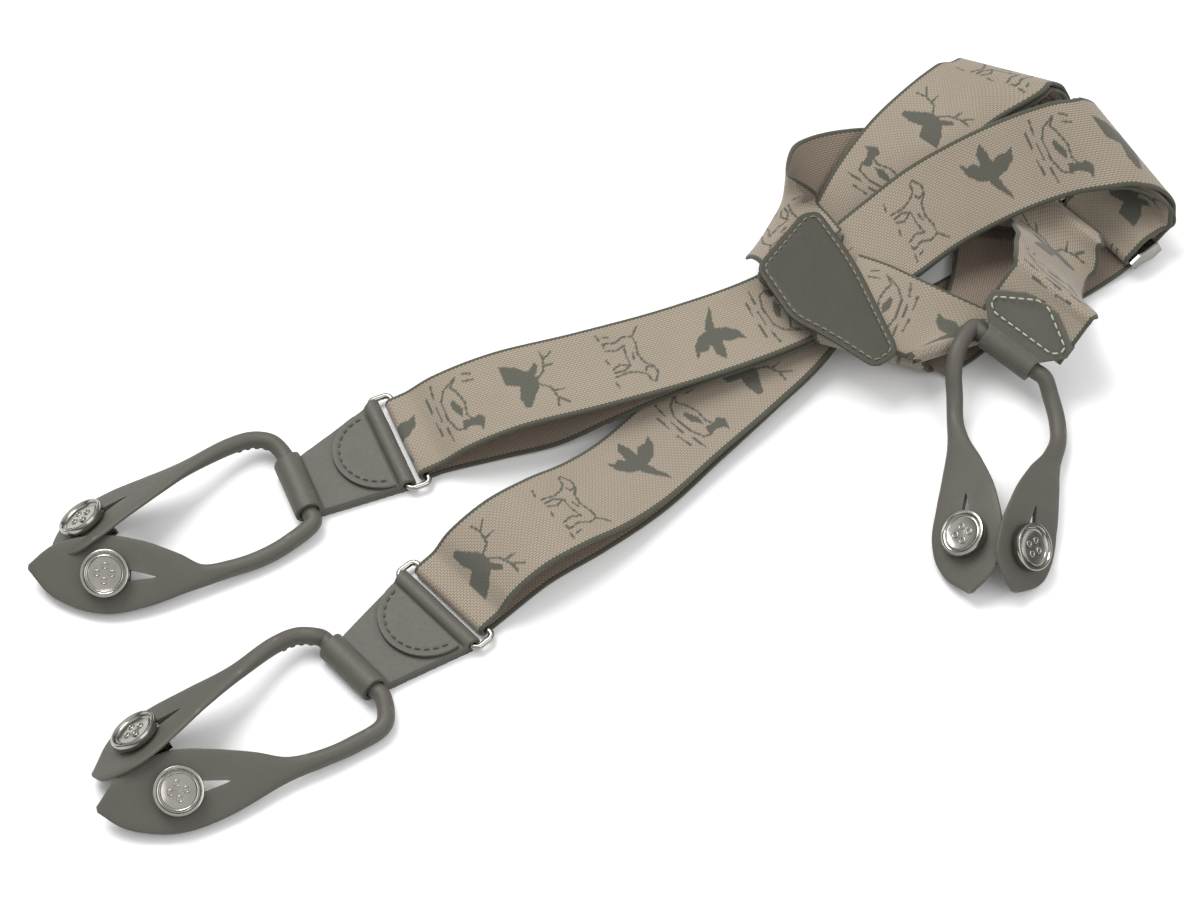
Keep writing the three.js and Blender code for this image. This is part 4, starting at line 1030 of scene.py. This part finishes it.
def button_loop(name, stops):
    body = f"loop_{name}"
    route = Route(stops)
    t, reach = route.spaced(LOOP_STEP)
    point, along, _, up, _, _ = route.frames(t)
    values = flowing(route, t, reach)
    turn, across, above = loop_section(values)
    side = np.cross(up, along)
    roundness = np.clip((values[:, 1] - FLAT * 1.5) / (CORD_RADIUS - FLAT * 1.5), 0, 1)
    seam = np.radians(180 - CORD_SEAM_ANGLE)
    gap = np.abs((turn - seam + math.pi) % (2 * math.pi) - math.pi)
    groove = 1 - CORD_GROOVE * roundness[:, None] * np.exp(-((gap / CORD_GROOVE_HALF) ** 2))[None]
    tube = closed_tube(skin(point, side, up, across * groove, above * groove))
    piece = new_object(f"button_loop_{name}_leather", *tube, body, "loop_leather", LOOP_LEATHER)
    for letter, index in (("a", 3), ("b", len(stops) - 4)):
        place = clip_place(stops, index)
        cutter = slit_cutter(place)
        cut = piece.modifiers.new("slit", "BOOLEAN")
        cut.object = cutter
        cut.solver = "EXACT"
        evaluated(piece)
        bpy.data.objects.remove(cutter)
        button(f"clip_{name}_{letter}", place)
    piece.data.shade_smooth()
    edges = piece.modifiers.new("edges", "WEIGHTED_NORMAL")
    edges.keep_sharp = True
    piece.data.set_sharp_from_angle(angle=math.radians(50))
    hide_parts(f"button_loop_{name}")
    stitched = seam - CORD_STITCH_TURN
    out = side * math.sin(stitched) + up * math.cos(stitched)
    sewn = past_tunnel(roundness)
    seam_line = [((point + out * CORD_RADIUS * 0.97)[sewn], out[sewn])]
    stitches(f"button_loop_{name}_stitching", seam_line, body, "loop_leather", DARK_THREAD)


def past_tunnel(roundness):
    """The rows of the fully rolled cord on the far side of its tunnel."""
    rolled = np.flatnonzero(roundness > 0.98)
    tunnel = (rolled[0] + rolled[-1]) // 2
    return rolled[rolled > tunnel + round((TUNNEL_HALF + 4) / LOOP_STEP)]


def slit_cutter(place):
    """A prism with the outline of the triangular button slit, its corners rounded."""
    outline = [(SLIT_LENGTH, 0), (SLIT_LENGTH - 1.5, 0.5), (1.5, SLIT_HALF - 0.1), (0.4, SLIT_HALF),
               (-1.8, SLIT_HALF - 0.3), (-2.5, SLIT_HALF - 1.2)]
    mirrored = [(x, -y) for x, y in outline[:0:-1]]
    ring = outline + mirrored
    reach = 3 * LEAF_THICK
    points = [place.at(x, y, z) for z in (-reach, reach) for x, y in ring]
    n = len(ring)
    faces = [tuple(range(n))[::-1], tuple(range(n, 2 * n))]
    faces += [(k, (k + 1) % n, n + (k + 1) % n, n + k) for k in range(n)]
    mesh = bpy.data.meshes.new("cutter")
    mesh.from_pydata([tuple((p + SHIFT) * MM) for p in points], [], faces)
    return add_object("cutter", mesh)


# ---- buttons ----
BUTTON_AROUND = 72
RAISED = {"reach": 2.6, "radius": 0.95, "wire": 0.3, "around": 28, "section": 10}


def button(name, place):
    """A nickel button: post, polished wall, double rim and four small raised rings in a diamond."""
    low = LEAF_THICK / 2 + BUTTON_GAP
    high = low + BUTTON_THICK
    base = JAW_TOP - SHEET - CLEARANCE
    r, floor = BUTTON_RADIUS, high - 1.1
    profile = [
        (0.02, base - 0.7), (POST_RADIUS + 0.8, base - 0.7), (POST_RADIUS + 1, base - 0.5),
        (POST_RADIUS + 1, base - 0.1), (POST_RADIUS + 0.9, base), (POST_RADIUS, base),
        (POST_RADIUS, low - 0.1), (POST_RADIUS + 0.1, low), (r - 0.6, low), (r - 0.2, low + 0.2),
        (r, low + 0.6), (r, high - 0.5), (r - 0.15, high - 0.15), (r - 0.5, high), (r - 1.0, high - 0.05),
        (r - 1.3, high - 0.4), (r - 1.45, floor + 0.25), (r - 1.75, floor + 0.15),
        (r - 1.95, floor + 0.45), (r - 2.2, floor + 0.52), (r - 2.45, floor + 0.4), (r - 2.65, floor + 0.08),
        (r - 2.9, floor), (2.5, floor + 0.02), (1.2, floor + 0.12), (0.02, floor + 0.16),
    ]
    turns = full_turn(BUTTON_AROUND)
    radius, height = np.array(profile).T[..., None]
    parts = [closed_tube(place.grid(radius * np.cos(turns), radius * np.sin(turns), height))]
    a, b = full_turn(RAISED["around"])[:, None], full_turn(RAISED["section"])
    out = RAISED["radius"] + RAISED["wire"] * np.cos(b)
    for centre in full_turn(4):
        x, y = RAISED["reach"] * math.cos(centre), RAISED["reach"] * math.sin(centre)
        height = floor + 0.12 + RAISED["wire"] * np.sin(b)
        grid = place.grid(x + out * np.cos(a), y + out * np.sin(a), height)
        faces = grid_faces(RAISED["around"], RAISED["section"], looped=True)[:, ::-1]
        parts.append((grid.reshape(-1, 3), [faces]))
    piece = new_object(f"{name}_button_metal", *joined(parts), name, "nickel", NICKEL)
    piece.data.set_sharp_from_angle(angle=math.radians(38))
    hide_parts(f"{name}_button")


# ---- Y patch and back tab ----
FRONT_CORNERS = [[-8.5, 31, 2.8], [-2, 32.5, 2.8], [10.5, 11, 12], [24.8, -28.5, 4.5], [15.5, -36, 4.5],
                 [-2, -22.5, 9], [-14, -16, 5], [-26, 6, 4]]
BACK_CORNERS = [[-8.5, 31, 2.8], [-2, 32.5, 2.8], [9, 13, 6], [11, 2, 4], [-4, -5, 4], [-17, -3, 4],
                [-26, 6, 4]]


def rounded_outline(corners):
    line = []
    for i, (x, y, radius) in enumerate(corners):
        corner = np.array([x, y], float)
        ends = []
        for other in (corners[i - 1], corners[(i + 1) % len(corners)]):
            away = np.array(other[:2], float) - corner
            ends.append(corner + away * min(1, radius / np.linalg.norm(away)))
        for w in np.linspace(0, 1, 7):
            line.append((1 - w) ** 2 * ends[0] + 2 * w * (1 - w) * corner + w * w * ends[1])
    return np.array(line)


def inset(line, distance):
    """A closed outline moved inwards, its points evenly spaced."""
    line = resample(line, 0.8, closed=True)[:-1]
    along = np.roll(line, -2, axis=0) - np.roll(line, 2, axis=0)
    inward = normalised(np.stack([-along[:, 1], along[:, 0]], 1))
    area = np.sum(line[:, 0] * np.roll(line[:, 1], -1) - np.roll(line[:, 0], -1) * line[:, 1])
    moved = line + inward * distance * np.sign(area)
    gap = np.linalg.norm(moved[:, None] - line[None], axis=2).min(axis=1)
    kept = moved[gap > distance * 0.96]
    return np.vstack([kept, kept[:1]])


def patch(name, corners, height, facing):
    flat_line = inset(rounded_outline(corners), SEAM_INSET)
    line = PATCH.all([[x, y, height] for x, y in flat_line])
    seam = [constant_normal(line, PATCH.axes[2] * facing)]
    leather_over(name, f"{name}_leather", "webbing", PATCH_LEATHER_LOOK, pressed=seam)
    stitches(f"{name}_stitching", seam, "webbing", "patch_leather", TONE_THREAD)


def back_tab():
    shoulder = 9 - TAB_LENGTH
    half = [(-TAB_LENGTH, 3), (shoulder, TAB_HALF), (shoulder + 5, TAB_HALF), (-6.5, TUNNEL_HALF + 2)]
    corners = [[x, y, 2] for x, y in half] + [[x, -y, 2] for x, y in half[::-1]]
    flat_line = inset(rounded_outline(corners), SEAM_INSET)
    seams = [constant_normal(TAB.all([[x, y, face * TAB_HALF_THICK] for x, y in flat_line]),
                             TAB.axes[2] * face) for face in (1, -1)]
    leather_over("back_tab", "back_tab_leather", "webbing", LOOP_LEATHER, pressed=seams)
    stitches("back_tab_stitching", seams, "webbing", "loop_leather", PALE_THREAD)


# ---- the set ----
PRESSED_EDGE = 0.12  # rounding of the pressed metal's edges

webbing_piece("front_strap_left_webbing", FRONT_LEFT, MOTIF_LEFT)
webbing_piece("front_strap_right_webbing", FRONT_RIGHT, MOTIF_RIGHT)
webbing_piece("back_strap_webbing", BACK, MOTIF_BACK)
for end in END:
    front_end(end)
for loop, stops in LOOPS.items():
    button_loop(loop, stops)
patch("y_patch_front", FRONT_CORNERS, PATCH_FACE + PATCH_LEATHER, 1)
patch("y_patch_back", BACK_CORNERS, -PATCH_FACE - PATCH_LEATHER, -1)
back_tab()

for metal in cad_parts.values():
    if metal.hide_render:
        continue
    metal.data.materials.clear()
    metal.data.materials.append(NICKEL)
    rounded = metal.modifiers.new("rounded edges", "BEVEL")
    rounded.width = PRESSED_EDGE * MM
    rounded.segments = 2
    rounded.limit_method = "ANGLE"
    rounded.angle_limit = math.radians(35)
    rounded.harden_normals = True

# ---- floor, light and camera ----
FLOOR_HALF = 3.0
# The room's light by height: dim walls, so that polished metal has something dark to show.
SKY_LOW = (0.15, (0.2, 0.2, 0.21, 1))
SKY_HIGH = (0.62, (1.0, 1.0, 1.0, 1))
SKY_STRENGTH = 0.95
LAMPS = (  # name, place, size and power; each points at the origin
    ("key", (-0.5, 0.55, 1.3), 0.9, 19),
    ("fill", (0.9, -0.7, 1.1), 1.2, 7),
)


def studio():
    n = Nodes("pale_floor")
    n.set("Base Color", n.mix(n.noise(3, 2), (0.86, 0.86, 0.86, 1), (0.9, 0.9, 0.9, 1)))
    n.set("Roughness", 0.7)
    mesh = bpy.data.meshes.new("floor")
    corners = [(-1, -1), (1, -1), (1, 1), (-1, 1)]
    mesh.from_pydata([(x * FLOOR_HALF, y * FLOOR_HALF, 0) for x, y in corners], [], [(0, 1, 2, 3)])
    mesh.materials.append(n.material)
    add_object("floor", mesh)
    world = bpy.data.worlds.new("studio")
    world.use_nodes = True
    tree = world.node_tree
    direction = tree.nodes.new("ShaderNodeTexCoord").outputs["Generated"]
    split = tree.nodes.new("ShaderNodeSeparateXYZ")
    ramp = tree.nodes.new("ShaderNodeValToRGB")
    tree.links.new(direction, split.inputs[0])
    tree.links.new(split.outputs["Z"], ramp.inputs[0])
    low, high = ramp.color_ramp.elements
    low.position, low.color = SKY_LOW
    high.position, high.color = SKY_HIGH
    background = tree.nodes["Background"]
    tree.links.new(ramp.outputs[0], background.inputs["Color"])
    background.inputs["Strength"].default_value = SKY_STRENGTH
    bpy.context.scene.world = world
    for name, place, size, power in LAMPS:
        lamp = bpy.data.lights.new(name, "AREA")
        lamp.size = size
        lamp.energy = power
        holder = add_object(name, lamp)
        holder.location = place
        holder.rotation_euler = (-Vector(place)).to_track_quat("-Z", "Y").to_euler()


CAMERA_ELEVATION = 55.0
CAMERA_DISTANCE = 1.07
CAMERA_LENS = 90.0


def camera():
    """Looks down along +Y at the middle of the picture."""
    aim = Vector(SHIFT) * MM
    tilt = math.radians(CAMERA_ELEVATION)
    data = bpy.data.cameras.new("camera")
    data.lens = CAMERA_LENS
    data.sensor_width = 36
    holder = add_object("camera", data)
    holder.location = aim + Vector((0, -math.cos(tilt), math.sin(tilt))) * CAMERA_DISTANCE
    holder.rotation_euler = (math.radians(90) - tilt, 0, 0)
    bpy.context.scene.camera = holder


studio()
camera()
bpy.context.scene.view_settings.view_transform = "Standard"
